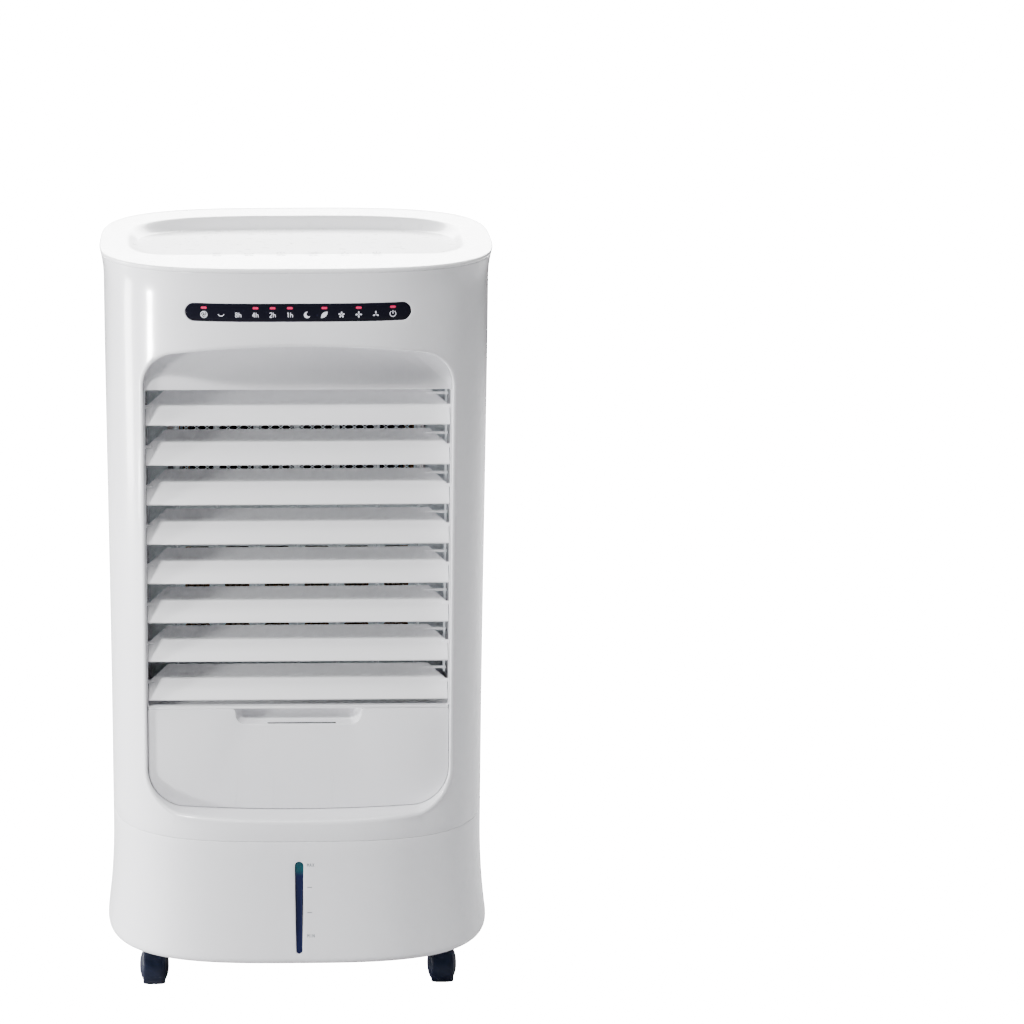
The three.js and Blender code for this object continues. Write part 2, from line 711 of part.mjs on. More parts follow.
function blowerWheel() {
  const half = 98;
  const ring = (x0, x1) =>
    cylinder("x", WHEEL_RADIUS, x0, x1, 0, 0, 16).subtract(cylinder("x", 46, x0 - 1, x1 + 1, 0, 0, 16));
  const parts = [
    ring(-half, -half + 4),
    ring(half - 4, half),
    cylinder("x", 57, -2, 2, 0, 0, 16),
    cylinder("x", 12, -16, 16, 0, 0, 12),
    cylinder("x", 4, -118, 30, 0, 0, 8),
  ];
  const blades = 12;
  for (let i = 0; i < blades; i++) {
    const blade = new THREE.BoxGeometry(2 * half - 2, 10, 1.6);
    blade.rotateX(0.6).translate(0, 51.5, 0).rotateX((i / blades) * 2 * Math.PI);
    parts.push(solid(blade));
  }
  return union(parts);
}

function blowerMotor() {
  const end = -SCROLL_HALF_WIDTH - 8;
  return union([
    cylinder("x", 34, end - 42, end, BLOWER_Y, BLOWER_Z, 20),
    cylinder("x", 14, end - 48, end - 42, BLOWER_Y, BLOWER_Z, 12),
    box(end - 3, end, BLOWER_Y - 6, BLOWER_Y + 6, BLOWER_Z - 56, BLOWER_Z + 56),
  ]).subtract(cylinder("x", 5, end - 10, end + 1, BLOWER_Y, BLOWER_Z, 8));
}

// ---------------------------------------------------------------- water side
const PAD = { x: 132, y0: 122, y1: 148, z0: 300, z1: 696 };

function coolingPad() {
  const teeth = 18;
  const front = [];
  const back = [];
  for (let i = 0; i <= teeth; i++) {
    const x = -PAD.x + (2 * PAD.x * i) / teeth;
    const wave = i % 2 ? 2.5 : 0;
    front.push([x, PAD.y0 + wave]);
    back.unshift([x, PAD.y1 - 2.5 + wave]);
  }
  return prism(polygon([...front, ...back]), "z", PAD.z0, PAD.z1);
}

const DRIPS = 9;
const DRIP_PITCH = 30;
function waterDistributor() {
  const z = PAD.z1 + GAP;
  const trough = box(-134, 134, 121, 149, z, z + 18).subtract(box(-132, 132, 123, 147, z + 2, z + 30));
  const drips = [];
  for (let i = 0; i < DRIPS; i++) {
    const x = -120 + i * DRIP_PITCH;
    drips.push(box(x - 2, x + 2, 133, 137, z - 1, z + 4));
  }
  return trough.subtract(union(drips));
}

const PUMP = { x: 80, y: 40, z: TANK_FLOOR_Z + TANK_WALL + GAP };

function waterPump() {
  return union([
    box(PUMP.x - 24, PUMP.x + 24, PUMP.y - 20, PUMP.y + 20, PUMP.z, PUMP.z + 38),
    cylinder("z", 8, PUMP.z + 38, PUMP.z + 48, PUMP.x, PUMP.y, 12),
    box(PUMP.x - 20, PUMP.x + 20, PUMP.y - 22, PUMP.y + 22, PUMP.z + 4, PUMP.z + 22),
  ]).subtract(cylinder("z", 2.5, PUMP.z + 40, PUMP.z + 50, PUMP.x, PUMP.y, 8));
}

// The riser hose, from the pump's spout round the blower and up into the distributor.
function riserHose() {
  const top = PAD.z1 + GAP + 24;
  const route = new THREE.CatmullRomCurve3(
    [
      [PUMP.x, PUMP.y, PUMP.z + 48 + GAP],
      [PUMP.x + 2, PUMP.y, 150],
      [PUMP.x + 30, PUMP.y + 20, 200],
      [PUMP.x + 62, PUMP.y + 36, 260],
      [PUMP.x + 67, PUMP.y + 40, 400],
      [PUMP.x + 67, PUMP.y + 40, 560],
      [PUMP.x + 66, PUMP.y + 42, 690],
      [PUMP.x + 58, PUMP.y + 58, top + 22],
      [PUMP.x + 42, PUMP.y + 85, top + 20],
      [PUMP.x + 36, PUMP.y + 95, top - 14],
    ].map(([x, y, z]) => new THREE.Vector3(x, y, z)),
    false,
    "centripetal",
  );
  const section = new THREE.Shape();
  section.absarc(0, 0, 5, 0, 2 * Math.PI);
  const settings = { extrudePath: route, steps: 24, bevelEnabled: false, curveSegments: 3 };
  return solid(new THREE.ExtrudeGeometry(section, settings));
}

function cordGland() {
  const y = surfaceY(GLAND_X - 10) + flareAt(GLAND_Z) + GAP;
  return union([
    cylinder("y", 7, y - 16, y + 1, GLAND_X, GLAND_Z, 12),
    cylinder("y", 10, y, y + 5, GLAND_X, GLAND_Z, 12),
  ]).subtract(cylinder("y", 3.8, y - 20, y + 10, GLAND_X, GLAND_Z, 10));
}

// ---------------------------------------------------------------- castors
// Both are made with the stem's axis on the Z axis and the floor at z = 0.
function castorFork() {
  const r = CASTOR_WHEEL_RADIUS;
  const axle = [CASTOR_TRAIL, r];
  const web = cylinder("x", r + 2.4, -6.5, 6.5, ...axle, 14).intersect(box(-30, 30, -60, 60, 3, 60));
  const hood = cylinder("x", r + 3.8, -12, 12, ...axle, 14)
    .subtract(cylinder("x", r + 1.8, -20, 20, ...axle, 14))
    .intersect(box(-30, 30, -60, 60, r + 4, 60));
  const neck = box(-6.5, 6.5, -8, 8, r + 14, r + 24);
  const collar = cylinder("z", 9, r + 22.5, UNDERSIDE - GAP, 0, 0, 12);
  const stem = cylinder("z", 4, UNDERSIDE - 6, UNDERSIDE + 15, 0, 0, 8);
  return union([web, hood, neck, collar, stem]).subtract(cylinder("x", 2.9, -30, 30, ...axle, 8));
}

function castorWheels() {
  const r = CASTOR_WHEEL_RADIUS;
  const axle = [CASTOR_TRAIL, r];
  const tyre = (side) => {
    const g = new THREE.LatheGeometry(
      [
        [0, 7.2],
        [r, 7.6],
        [r, 9.8],
        [r - 2, 11.2],
        [r - 6, 13.3],
        [r - 12, 15.1],
        [0, 15.8],
      ].map(([u, v]) => new THREE.Vector2(u, v)),
      14,
    );
    g.rotateZ(-Math.PI / 2).translate(0, ...axle);
    const one = solid(g);
    return side > 0 ? one : one.mirror([1, 0, 0]);
  };
  return union([tyre(1), tyre(-1), cylinder("x", 2.5, -8, 8, ...axle, 8)]);
}

// ---------------------------------------------------------------- assembly
const cooler = new THREE.Group();
cooler.name = "evaporative_cooler";

function add(name, manifold, look, parent = cooler) {
  const mesh = new THREE.Mesh(geometryOf(manifold), look);
  mesh.name = name;
  parent.add(mesh);
  return mesh;
}

add("front_shell", frontShell(), WHITE);
add("back_panel", backPanel(), WHITE);
add("base_shell", baseShell(), WHITE);
add("top_panel", topPanel(), WHITE);
add("side_grip_left", sideGrip(-1), WHITE);
add("side_grip_right", sideGrip(1), WHITE);
add("display_window", displayWindow(), BLACK_GLOSS);
add("display_board", displayBoard(), BOARD_GREEN);
add("touch_board", touchBoard(), BOARD_GREEN);
add("outlet_frame", outletFrame(), WHITE);
add("air_guard", airGuard(), INNER_WHITE);
add("guard_mesh", guardMesh(), INNER_WHITE);
add("swing_motor", swingMotor(), STEEL);

for (let i = 0; i < LOUVRES; i++) {
  const mesh = add(`louvre_${i + 1}`, louvre(), LOUVRE_WHITE);
  mesh.position.set(0, LOUVRE_PIVOT_Y, louvreZ(i));
  mesh.rotation.x = restTilt;
}
add("louvre_link", louvreLink(), INNER_WHITE);

for (let i = 0; i < VANES; i++) {
  const mesh = add(`vane_${i + 1}`, vane(), INNER_WHITE);
  mesh.position.set(vaneX(i), VANE_PIVOT_Y, 0);
}
add("vane_link", vaneLink(), INNER_WHITE);

add("filler_cover", fillerCover(), WHITE);
add("filler_tray", fillerTray(), INNER_WHITE);

add("blower_housing", blowerHousing(), BLACK);
const wheel = add("blower_wheel", blowerWheel(), BLACK);
wheel.position.set(0, BLOWER_Y, BLOWER_Z);
add("blower_motor", blowerMotor(), STEEL);

add("water_tank", waterTank(), INNER_WHITE);
add("level_window", levelWindow(), SMOKED);
add("drain_plug", drainPlug(), BLACK);
add("water_pump", waterPump(), BLACK);
add("riser_hose", riserHose(), CLEAR_TUBE);
add("water_distributor", waterDistributor(), INNER_WHITE);
add("cooling_pad", coolingPad(), PAD_BROWN);
add("dust_filter", dustFilter(), FILTER_GREY);
add("rear_grille", rearGrille(), WHITE);
add("cord_gland", cordGland(), BLACK);

for (const [spot, x, y] of castorSpots) {
  const castor = new THREE.Group();
  castor.position.set(x, y, 0);
  cooler.add(castor);
  add(`castor_${spot}_fork`, castorFork(), CASTOR_BLACK, castor);
  add(`castor_${spot}_wheels`, castorWheels(), CASTOR_BLACK, castor);
}

export default cooler;
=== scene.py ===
"""Looks for a free-standing evaporative air cooler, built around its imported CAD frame.

Lengths are metres in the CAD frame: +Z up, the front faces -Y, the origin is on the floor.
The shells, lenses and louvres are made here as fine meshes on the same driving sizes as the CAD solids.
"""

import math

import bmesh
import bpy
from mathutils import Matrix, Vector
from mathutils.geometry import delaunay_2d_cdt


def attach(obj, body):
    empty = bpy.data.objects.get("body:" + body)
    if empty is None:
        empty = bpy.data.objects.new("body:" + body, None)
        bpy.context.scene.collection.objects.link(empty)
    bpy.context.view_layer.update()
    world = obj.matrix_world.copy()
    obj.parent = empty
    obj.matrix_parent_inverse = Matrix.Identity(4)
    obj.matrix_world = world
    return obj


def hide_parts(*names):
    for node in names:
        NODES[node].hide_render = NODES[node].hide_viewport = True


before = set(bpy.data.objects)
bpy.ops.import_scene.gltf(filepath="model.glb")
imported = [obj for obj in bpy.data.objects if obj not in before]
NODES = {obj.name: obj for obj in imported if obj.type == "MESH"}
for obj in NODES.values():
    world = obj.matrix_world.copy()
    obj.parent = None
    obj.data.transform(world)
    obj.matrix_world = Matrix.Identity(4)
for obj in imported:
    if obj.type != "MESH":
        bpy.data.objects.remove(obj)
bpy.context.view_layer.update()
MM = 0.001

# ---------------------------------------------------------------- sizes, in millimetres, as in the CAD
HEIGHT = 790.0
HALF_WIDTH = 200.5
HALF_DEPTH = 185.5
PLAN_POWER = 3.2
RIM_FLARE = 4.5
RIM_FLARE_START = 757.0
WAIST_DRAW = 2.4  # how much the cabinet draws in from the rim's foot down to its waist
WAIST_Z = 260.0
FOOT_FLARE = 5.5
FOOT_FLARE_START = 160.0
UNDERSIDE = 50.0
BASE_SEAM = 184.0
DECK_SEAM = 785.0
BACK_SEAM_Y = 115.0
WALL = 2.5
SEAM_GAP = 0.15

OUTLET = {
    "half": 157.5, "top": 709.0, "crown": 9.0, "top_r": 38.0, "bottom": 207.0, "sag": 3.0, "bottom_r": 43.0,
}
OUTLET_FILLET = 5.0
RECESS_Y = -144.0
DUCT_SILL = 320.0
DUCT_LIP = 657.0
DUCT_BACK_Y = -60.0
DUCT_HALF = 157.5

DISPLAY_Z = 744.5
DISPLAY_HALF = 114.0
DISPLAY_R = 9.2
WINDOW = {"top": 157.5, "foot": 65.5, "top_r": 4.5, "foot_r": 3.1}
GRIP = {"y0": -22.0, "y1": 50.0, "z0": 685.0, "z1": 732.0, "r": 9.0, "floor": 176.0}
GRILLE = {"half": 145.0, "z0": 292.0, "z1": 700.0, "r": 18.0}
GLAND = (118.0, 222.0)
DRAIN = (-60.0, 84.0)

LOUVRES = 8
LOUVRE_PITCH = 41.9
LOUVRE_FIRST_Z = 342.7
LOUVRE_PIVOT_Y = -128.0
LOUVRE_HALF = 156.0
LOUVRE_LINK_X = 153.0
LOUVRE_FRONT = 21.5
LOUVRE_REAR = 20.0
LOUVRE_THICK = 2.2
LOUVRE_CHAMFER = 20.0
LOUVRE_TILT = math.radians(50)
LOUVRE_CRANK = 15.0
VANES = 7
VANE_PITCH = 42.0
VANE_PIVOT_Y = -90.0
CASTOR_X = 154.0
CASTOR_Y = 115.0
CASTOR_TRAIL = 10.0
WHEEL_RADIUS = 20.0

EDGE = 0.5  # radius of the rounding along every seam
FOOT_ROWS = [50, 54, 58, 62, 66, 70, 75, 80, 86, 92, 98, 105, 112, 120, 130, 140, 150]
ROWS = FOOT_ROWS + list(range(162, 750, 12)) + list(range(757, 788, 3))
GRIP_EDGE = 1.6
GRIP_FLOOR_RADIUS = 5.0
GLAND_HOLE = 7.5
DRAIN_RECESS = 10.5
FOOT_RADIUS = 8.0
TRAY_HALF_WIDTH = 178.0
TRAY_HALF_DEPTH = 137.0
TRAY_FALL = 13.0
TRAY_FRONT_Y = -105.0
TOP_Z = HEIGHT - 0.15
RIM_RADIUS = 2.4

MESH_HALF = 135.0
MESH_LOW = 552.0
MESH_HIGH = 627.0
LADDER = [372, 382, 392, 402, 426, 436, 446, 456, 466, 488, 498]  # feet of the air guard's slots
COVER_TOP = 317.2
NOTCH_TOP = 66.0
NOTCH_FOOT = 64.0
NOTCH_DEPTH = 17.0
SCOOP_STEPS = ((0, 0.0), (2, 0.8), (5, 3.0), (8, 6.5), (10, 10.5), (11.5, 15.0), (12, 17.3))  # back, rise
SCOOP_DRAFT = 0.6  # how far the scoop's sides draw in, for each step back
SCOOP_COUNT = 80
SCOOP_CORNER = 0.16
SILL_PROFILE = [(-144, 317.5, 0.3), (-110, 317.5, 0.3), (-110, 327, 0.5), (-118, 327.5, 2),
                (-136.5, 320.6, 3),
                (-144, 318.9, 0.8)]

GRILLE_ROWS = 29
GRILLE_PITCH = 13.0
BLOWER = (12.0, 530.0)

ICON_HEIGHT = 6.6
ICON_PITCH = 17.3
ICON_FIRST = -95.0
TOUCH_PITCH = 32.7
TOUCH_Y = -96.0
TOUCH_LABEL_Y = -103.0
TOUCH_STRETCH = 2.2  # the marks are drawn long from front to back, to read from a low angle

BACKDROP = 20.0  # brightness of the plain white backdrop and floor as the camera sees them
AMBIENT = 0.02


# ---------------------------------------------------------------- the cabinet's form
def flare(z):
    """How far the cabinet stands out at z beyond its plan at the rim's foot."""
    if z > RIM_FLARE_START:
        return RIM_FLARE * ((z - RIM_FLARE_START) / (HEIGHT - RIM_FLARE_START)) ** 2
    share = min(1.0, (RIM_FLARE_START - z) / (RIM_FLARE_START - WAIST_Z))
    drawn = -WAIST_DRAW * share * share * (3 - 2 * share)
    if z > FOOT_FLARE_START:
        return drawn
    down = (FOOT_FLARE_START - z) / (FOOT_FLARE_START - UNDERSIDE)
    return drawn + (FOOT_FLARE + WAIST_DRAW) * down ** 2


def spower(v, p):
    return math.copysign(abs(v) ** p, v)


class Plan:
    """The cabinet's plan outline, measured by arc length s from the middle of the right side, to the back."""

    def __init__(self, samples=7200):
        self.a, self.b = HALF_WIDTH, HALF_DEPTH
        self.angles = [2 * math.pi * i / samples for i in range(samples + 1)]
        points = [self.at_angle(t, 0) for t in self.angles]
        self.s = [0.0]
        for p, q in zip(points, points[1:]):
            self.s.append(self.s[-1] + math.dist(p, q))
        self.length = self.s[-1]

    def at_angle(self, t, grow):
        power = 2 / PLAN_POWER
        return ((self.a + grow) * spower(math.cos(t), power), (self.b + grow) * spower(math.sin(t), power))

    def angle(self, s):
        s %= self.length
        low, high = 0, len(self.s) - 1
        while high - low > 1:
            mid = (low + high) // 2
            low, high = (mid, high) if self.s[mid] <= s else (low, mid)
        share = (s - self.s[low]) / max(self.s[high] - self.s[low], 1e-9)
        return self.angles[low] + share * (self.angles[high] - self.angles[low])

    def s_of_angle(self, t):
        t %= 2 * math.pi
        f = t / (2 * math.pi) * (len(self.s) - 1)
        i = min(int(f), len(self.s) - 2)
        return self.s[i] + (f - i) * (self.s[i + 1] - self.s[i])

    def s_front(self, x):
        """s of the front at that x. The front runs from s = half the length to the whole length."""
        c = spower(max(-1.0, min(1.0, x / self.a)), PLAN_POWER / 2)
        return self.s_of_angle(2 * math.pi - math.acos(c))

    def s_back(self, x):
        c = spower(max(-1.0, min(1.0, x / self.a)), PLAN_POWER / 2)
        return self.s_of_angle(math.acos(c))

    def s_right(self, y):
        """s on the right side at that y, below zero towards the front."""
        t = math.asin(spower(max(-1.0, min(1.0, y / self.b)), PLAN_POWER / 2))
        return self.s_of_angle(t) if t >= 0 else self.s_of_angle(t) - self.length

    def point(self, s, z, inset=0.0):
        x, y = self.at_angle(self.angle(s), flare(z) - inset)
        return Vector((x, y, z))


PLAN = Plan()


def surface_y(x):
    """How far the front or back stands out at x, at the rim's foot."""
    return HALF_DEPTH * (1 - min(abs(x / HALF_WIDTH), 1.0) ** PLAN_POWER) ** (1 / PLAN_POWER)


def surface_x(y):
    """How far the sides stand out at y, at the rim's foot."""
    return HALF_WIDTH * (1 - min(abs(y / HALF_DEPTH), 1.0) ** PLAN_POWER) ** (1 / PLAN_POWER)


# ---------------------------------------------------------------- outlines, as lists of 2D points
def arc(cx, cy, r, a0, a1, steps):
    angles = [a0 + (a1 - a0) * i / steps for i in range(steps + 1)]
    return [(cx + r * math.cos(a), cy + r * math.sin(a)) for a in angles]


def quadratic(p0, p1, p2, steps):
    """The points between p0 and p2 on the curve that p1 pulls."""
    points = []
    for i in range(1, steps):
        t = i / steps
        weights = ((1 - t) ** 2, 2 * t * (1 - t), t * t)
        points.append(tuple(sum(w * c for w, c in zip(weights, parts)) for parts in zip(p0, p1, p2)))
    return points


def resample(points, spacing):
    """The closed outline with points about that far apart, keeping its start."""
    loop = points + [points[0]]
    lengths = [math.dist(p, q) for p, q in zip(loop, loop[1:])]
    total = sum(lengths)
    count = max(12, round(total / spacing))
    result, k, walked = [], 0, 0.0
    for i in range(count):
        target = total * i / count
        while walked + lengths[k] < target:
            walked += lengths[k]
            k += 1
        share = (target - walked) / max(lengths[k], 1e-9)
        p, q = loop[k], loop[k + 1]
        result.append((p[0] + share * (q[0] - p[0]), p[1] + share * (q[1] - p[1])))
    return result


def outlet_outline(g=0.0, spacing=3.0):
    """The arched recess, grown by g: upright sides, round corners, and a bowed top and bottom."""
    w = OUTLET["half"] + g
    rt, rb = OUTLET["top_r"] + g, OUTLET["bottom_r"] + g
    top, bottom = OUTLET["top"] + g, OUTLET["bottom"] - g
    shoulder = top - OUTLET["crown"] - rt
    hip = bottom + OUTLET["sag"] + rb
    turn = math.pi * 0.43
    head = arc(w - rt, shoulder, rt, 0, turn, 16)
    foot = arc(w - rb, hip, rb, -turn, 0, 16)
    right_top, left_top = head[-1], (-head[-1][0], head[-1][1])
    right_foot, left_foot = foot[0], (-foot[0][0], foot[0][1])
    points = [(w, hip)] + head
    points += quadratic(right_top, (w * 0.45, top), (0, top), 12) + [(0, top)]
    points += quadratic((0, top), (-w * 0.45, top), left_top, 12)
    points += [(-x, z) for x, z in reversed(head)] + [(-w, hip)]
    points += [(-x, z) for x, z in reversed(foot)][1:]
    points += quadratic(left_foot, (-w * 0.4, bottom), (0, bottom), 12) + [(0, bottom)]
    points += quadratic((0, bottom), (w * 0.4, bottom), right_foot, 12) + foot[:-1]
    return resample(points, spacing)


def rounded_rectangle(u0, u1, v0, v1, r, spacing=1.5):
    points = arc(u1 - r, v0 + r, r, -math.pi / 2, 0, 10) + arc(u1 - r, v1 - r, r, 0, math.pi / 2, 10)
    points += arc(u0 + r, v1 - r, r, math.pi / 2, math.pi, 10)
    points += arc(u0 + r, v0 + r, r, math.pi, 1.5 * math.pi, 10)
    return resample(points, spacing)


def display_outline(g=0.0):
    half, r = DISPLAY_HALF + g, DISPLAY_R + g
    return rounded_rectangle(-half, half, DISPLAY_Z - r, DISPLAY_Z + r, r - 0.01)


def window_outline(g=0.0):
    points = arc(0, WINDOW["top"], WINDOW["top_r"] + g, 0, math.pi, 16)
    points += arc(0, WINDOW["foot"], WINDOW["foot_r"] + g, math.pi, 2 * math.pi, 16)
    return resample(points, 1.2)


def grip_outline(g=0.0):
    return rounded_rectangle(GRIP["y0"] - g, GRIP["y1"] + g, GRIP["z0"] - g, GRIP["z1"] + g, GRIP["r"] + g)


def grille_outline(g=0.0):
    half, low, high = GRILLE["half"] + g, GRILLE["z0"] - g, GRILLE["z1"] + g
    return rounded_rectangle(-half, half, low, high, GRILLE["r"] + g, 3.0)


def circle_outline(cx, cy, r, count=32):
    return arc(cx, cy, r, 0, 2 * math.pi, count)[:-1]


# ---------------------------------------------------------------- materials
def shader(name, rough, metallic=0.0, coat=0.0, coat_rough=0.05, specular=0.5):
    material = bpy.data.materials.new(name)
    material.use_nodes = True
    tree = material.node_tree
    node = tree.nodes["Principled BSDF"]
    node.inputs["Roughness"].default_value = rough
    node.inputs["Metallic"].default_value = metallic
    node.inputs["Coat Weight"].default_value = coat
    node.inputs["Coat Roughness"].default_value = coat_rough
    node.inputs["IOR"].default_value = 1.5
    node.inputs["Specular IOR Level"].default_value = specular
    return material, tree, node


def noise(tree, scale, detail=4.0, rough=0.55, stretch=(1, 1, 1)):
    """Noise in object space, scale in features per metre."""
    where = tree.nodes.new("ShaderNodeTexCoord")
    place = tree.nodes.new("ShaderNodeMapping")
    place.inputs["Scale"].default_value = stretch
    texture = tree.nodes.new("ShaderNodeTexNoise")
    texture.inputs["Scale"].default_value = scale
    texture.inputs["Detail"].default_value = detail
    texture.inputs["Roughness"].default_value = rough
    tree.links.new(where.outputs["Object"], place.inputs["Vector"])
    tree.links.new(place.outputs["Vector"], texture.inputs["Vector"])
    return texture.outputs["Fac"]


def ramp(tree, fac, stops):
    """A color for each (place, color) stop, blended between them by fac."""
    node = tree.nodes.new("ShaderNodeValToRGB")
    elements = node.color_ramp.elements
    while len(elements) < len(stops):
        elements.new(0.5)
    for element, (place, color) in zip(elements, stops):
        element.position = place
        element.color = (*color, 1.0)
    tree.links.new(fac, node.inputs["Fac"])
    return node.outputs["Color"]


def spread(tree, fac, low, high, to_low, to_high):
    """fac's range from low to high, stretched to run from to_low to to_high."""
    node = tree.nodes.new("ShaderNodeMapRange")
    node.inputs["From Min"].default_value = low
    node.inputs["From Max"].default_value = high
    node.inputs["To Min"].default_value = to_low
    node.inputs["To Max"].default_value = to_high
    tree.links.new(fac, node.inputs["Value"])
    return node.outputs["Result"]


def bump(tree, shader_node, height, distance, strength=1.0, under=None):
    node = tree.nodes.new("ShaderNodeBump")
    node.inputs["Distance"].default_value = distance
    node.inputs["Strength"].default_value = strength
    tree.links.new(height, node.inputs["Height"])
    if under is not None:
        tree.links.new(under, node.inputs["Normal"])
    tree.links.new(node.outputs["Normal"], shader_node.inputs["Normal"])
    return node.outputs["Normal"]


def tones(color, change):
    """The colour made darker and lighter by a share of itself."""
    dark = tuple(max(0.0, c * (1 - change)) for c in color)
    light = tuple(min(1.0, c * (1 + change)) for c in color)
    return dark, light


def moulded(name, color, rough, change=0.02, grain=900.0, wave=0.00006, coat=0.0, coat_rough=0.08,
            specular=0.5):
    """Moulded plastic: faint clouds in its colour, a fine grain and the slow waves of a large moulding."""
    material, tree, node = shader(name, rough, coat=coat, coat_rough=coat_rough, specular=specular)
    dark, light = tones(color, change)
    cloud = noise(tree, 6.0, 3.0)
    tree.links.new(ramp(tree, cloud, [(0.3, dark), (0.7, light)]), node.inputs["Base Color"])
    mottle = noise(tree, 70.0, 5.0)
    worn = spread(tree, mottle, 0.3, 0.7, rough * 0.86, min(1.0, rough * 1.14))
    tree.links.new(worn, node.inputs["Roughness"])
    slow = bump(tree, node, noise(tree, 9.0, 1.0), wave, 0.6)
    bump(tree, node, noise(tree, grain, 2.0), 0.00002, 0.5, under=slow)
    return material


def brushed_metal(name, color, rough):
    material, tree, node = shader(name, rough, metallic=1.0)
    dark, light = tones(color, 0.12)
    lines = noise(tree, 240.0, 4.0, stretch=(0.06, 1, 1))
    tree.links.new(ramp(tree, lines, [(0.3, dark), (0.7, light)]), node.inputs["Base Color"])
    tree.links.new(spread(tree, lines, 0.3, 0.7, rough * 0.7, rough * 1.4), node.inputs["Roughness"])
    bump(tree, node, lines, 0.00003, 0.5)
    return material


def smoked(name, upper, lower, split_z, blur):
    """Dark clear plastic over water: one colour above the waterline, one below."""
    material, tree, node = shader(name, 0.06, specular=0.15)
    where = tree.nodes.new("ShaderNodeTexCoord")
    parts = tree.nodes.new("ShaderNodeSeparateXYZ")
    tree.links.new(where.outputs["Object"], parts.inputs["Vector"])
    level = spread(tree, parts.outputs["Z"], split_z - blur, split_z + blur, 0.0, 1.0)
    tree.links.new(ramp(tree, level, [(0.0, lower), (1.0, upper)]), node.inputs["Base Color"])
    bump(tree, node, noise(tree, 60.0, 2.0), 0.00003, 0.4)
    return material


def corrugated_paper(name, color):
    material, tree, node = shader(name, 0.9)
    dark, light = tones(color, 0.35)
    fibres = noise(tree, 420.0, 6.0, stretch=(1, 1, 0.3))
    tree.links.new(ramp(tree, fibres, [(0.3, dark), (0.7, light)]), node.inputs["Base Color"])
    tree.links.new(spread(tree, fibres, 0.2, 0.8, 0.8, 1.0), node.inputs["Roughness"])
    bump(tree, node, fibres, 0.0004, 0.8)
    return material


def woven(name, color, threads):
    """Plain weave, threads per metre, in the X-Z plane."""
    material, tree, node = shader(name, 0.7)
    waves = []
    for turn in (0.0, math.pi / 2):
        where = tree.nodes.new("ShaderNodeTexCoord")
        place = tree.nodes.new("ShaderNodeMapping")
        place.inputs["Rotation"].default_value = (0, turn, 0)
        wave = tree.nodes.new("ShaderNodeTexWave")
        wave.bands_direction = "X"
        wave.inputs["Scale"].default_value = threads / (2 * math.pi)
        tree.links.new(where.outputs["Object"], place.inputs["Vector"])
        tree.links.new(place.outputs["Vector"], wave.inputs["Vector"])
        waves.append(wave.outputs["Fac"])
    both = tree.nodes.new("ShaderNodeMath")
    both.operation = "MAXIMUM"
    tree.links.new(waves[0], both.inputs[0])
    tree.links.new(waves[1], both.inputs[1])
    dark, light = tones(color, 0.5)
    tree.links.new(ramp(tree, both.outputs[0], [(0.4, dark), (0.9, light)]), node.inputs["Base Color"])
    tree.links.new(spread(tree, both.outputs[0], 0.0, 1.0, 0.9, 0.6), node.inputs["Roughness"])
    bump(tree, node, both.outputs[0], 0.0003, 0.8)
    return material


def circuit_board(name):
    material, tree, node = shader(name, 0.4, coat=0.3)
    brick = tree.nodes.new("ShaderNodeTexBrick")
    where = tree.nodes.new("ShaderNodeTexCoord")
    brick.inputs["Scale"].default_value = 90.0
    brick.inputs["Color1"].default_value = (0.015, 0.13, 0.05, 1)
    brick.inputs["Color2"].default_value = (0.02, 0.17, 0.06, 1)
    brick.inputs["Mortar"].default_value = (0.30, 0.25, 0.08, 1)
    brick.inputs["Mortar Size"].default_value = 0.012
    tree.links.new(where.outputs["Object"], brick.inputs["Vector"])
    tree.links.new(brick.outputs["Color"], node.inputs["Base Color"])
    bump(tree, node, brick.outputs["Fac"], 0.0001, 0.5)
    tree.links.new(spread(tree, noise(tree, 300.0), 0.3, 0.7, 0.3, 0.5), node.inputs["Roughness"])
    return material


def glowing(name, color, strength):
    """Glowing colour, a little uneven: the lamps' own light on the LEDs, and painted glow on printed marks,
    which are no lamps.
    """
    material, tree, node = shader(name, 0.4)
    dark, light = tones(color, 0.15)
    patch = noise(tree, 500.0, 3.0)
    shade = ramp(tree, patch, [(0.3, dark), (0.7, light)])
    tree.links.new(shade, node.inputs["Base Color"])
    tree.links.new(shade, node.inputs["Emission Color"])
    node.inputs["Emission Strength"].default_value = strength
    return material


WHITE = moulded("cabinet_white", (0.80, 0.80, 0.825), 0.24, change=0.006, coat=0.5, coat_rough=0.10)
# The top panel shares the cabinet's white finish; its lighter colour here is painted light, for the top
# facing the lamps.
TOP_WHITE_PAINTED_LIGHT = moulded("top_white_painted_light", (0.88, 0.88, 0.90), 0.30, change=0.006, coat=0.3, coat_rough=0.12)
LOUVRE_WHITE = moulded("louvre_white", (0.80, 0.80, 0.82), 0.36, change=0.008, coat=0.15)
INNER_WHITE = moulded("inner_white", (0.66, 0.70, 0.72), 0.45, change=0.02)
LENS_BLACK = moulded("display_black", (0.006, 0.006, 0.011), 0.12, change=0.1, wave=0.00002, specular=0.12)
INNER_BLACK = moulded("inner_black", (0.012, 0.013, 0.016), 0.5, change=0.15)
CASTOR_BLACK = moulded("castor_black", (0.007, 0.010, 0.026), 0.42, change=0.15, grain=1500.0, specular=0.2)
CASTOR_TREAD = moulded("castor_tread", (0.006, 0.009, 0.022), 0.55, change=0.2, grain=2500.0, specular=0.2)
STEEL = brushed_metal("motor_steel", (0.45, 0.46, 0.48), 0.32)
WINDOW_DARK = smoked("window_smoked", (0.006, 0.050, 0.066), (0.004, 0.007, 0.042), 0.1495, 0.003)
HOSE = moulded("hose_clear", (0.55, 0.62, 0.66), 0.25, coat=0.4)
PAPER = corrugated_paper("pad_paper", (0.34, 0.22, 0.12))
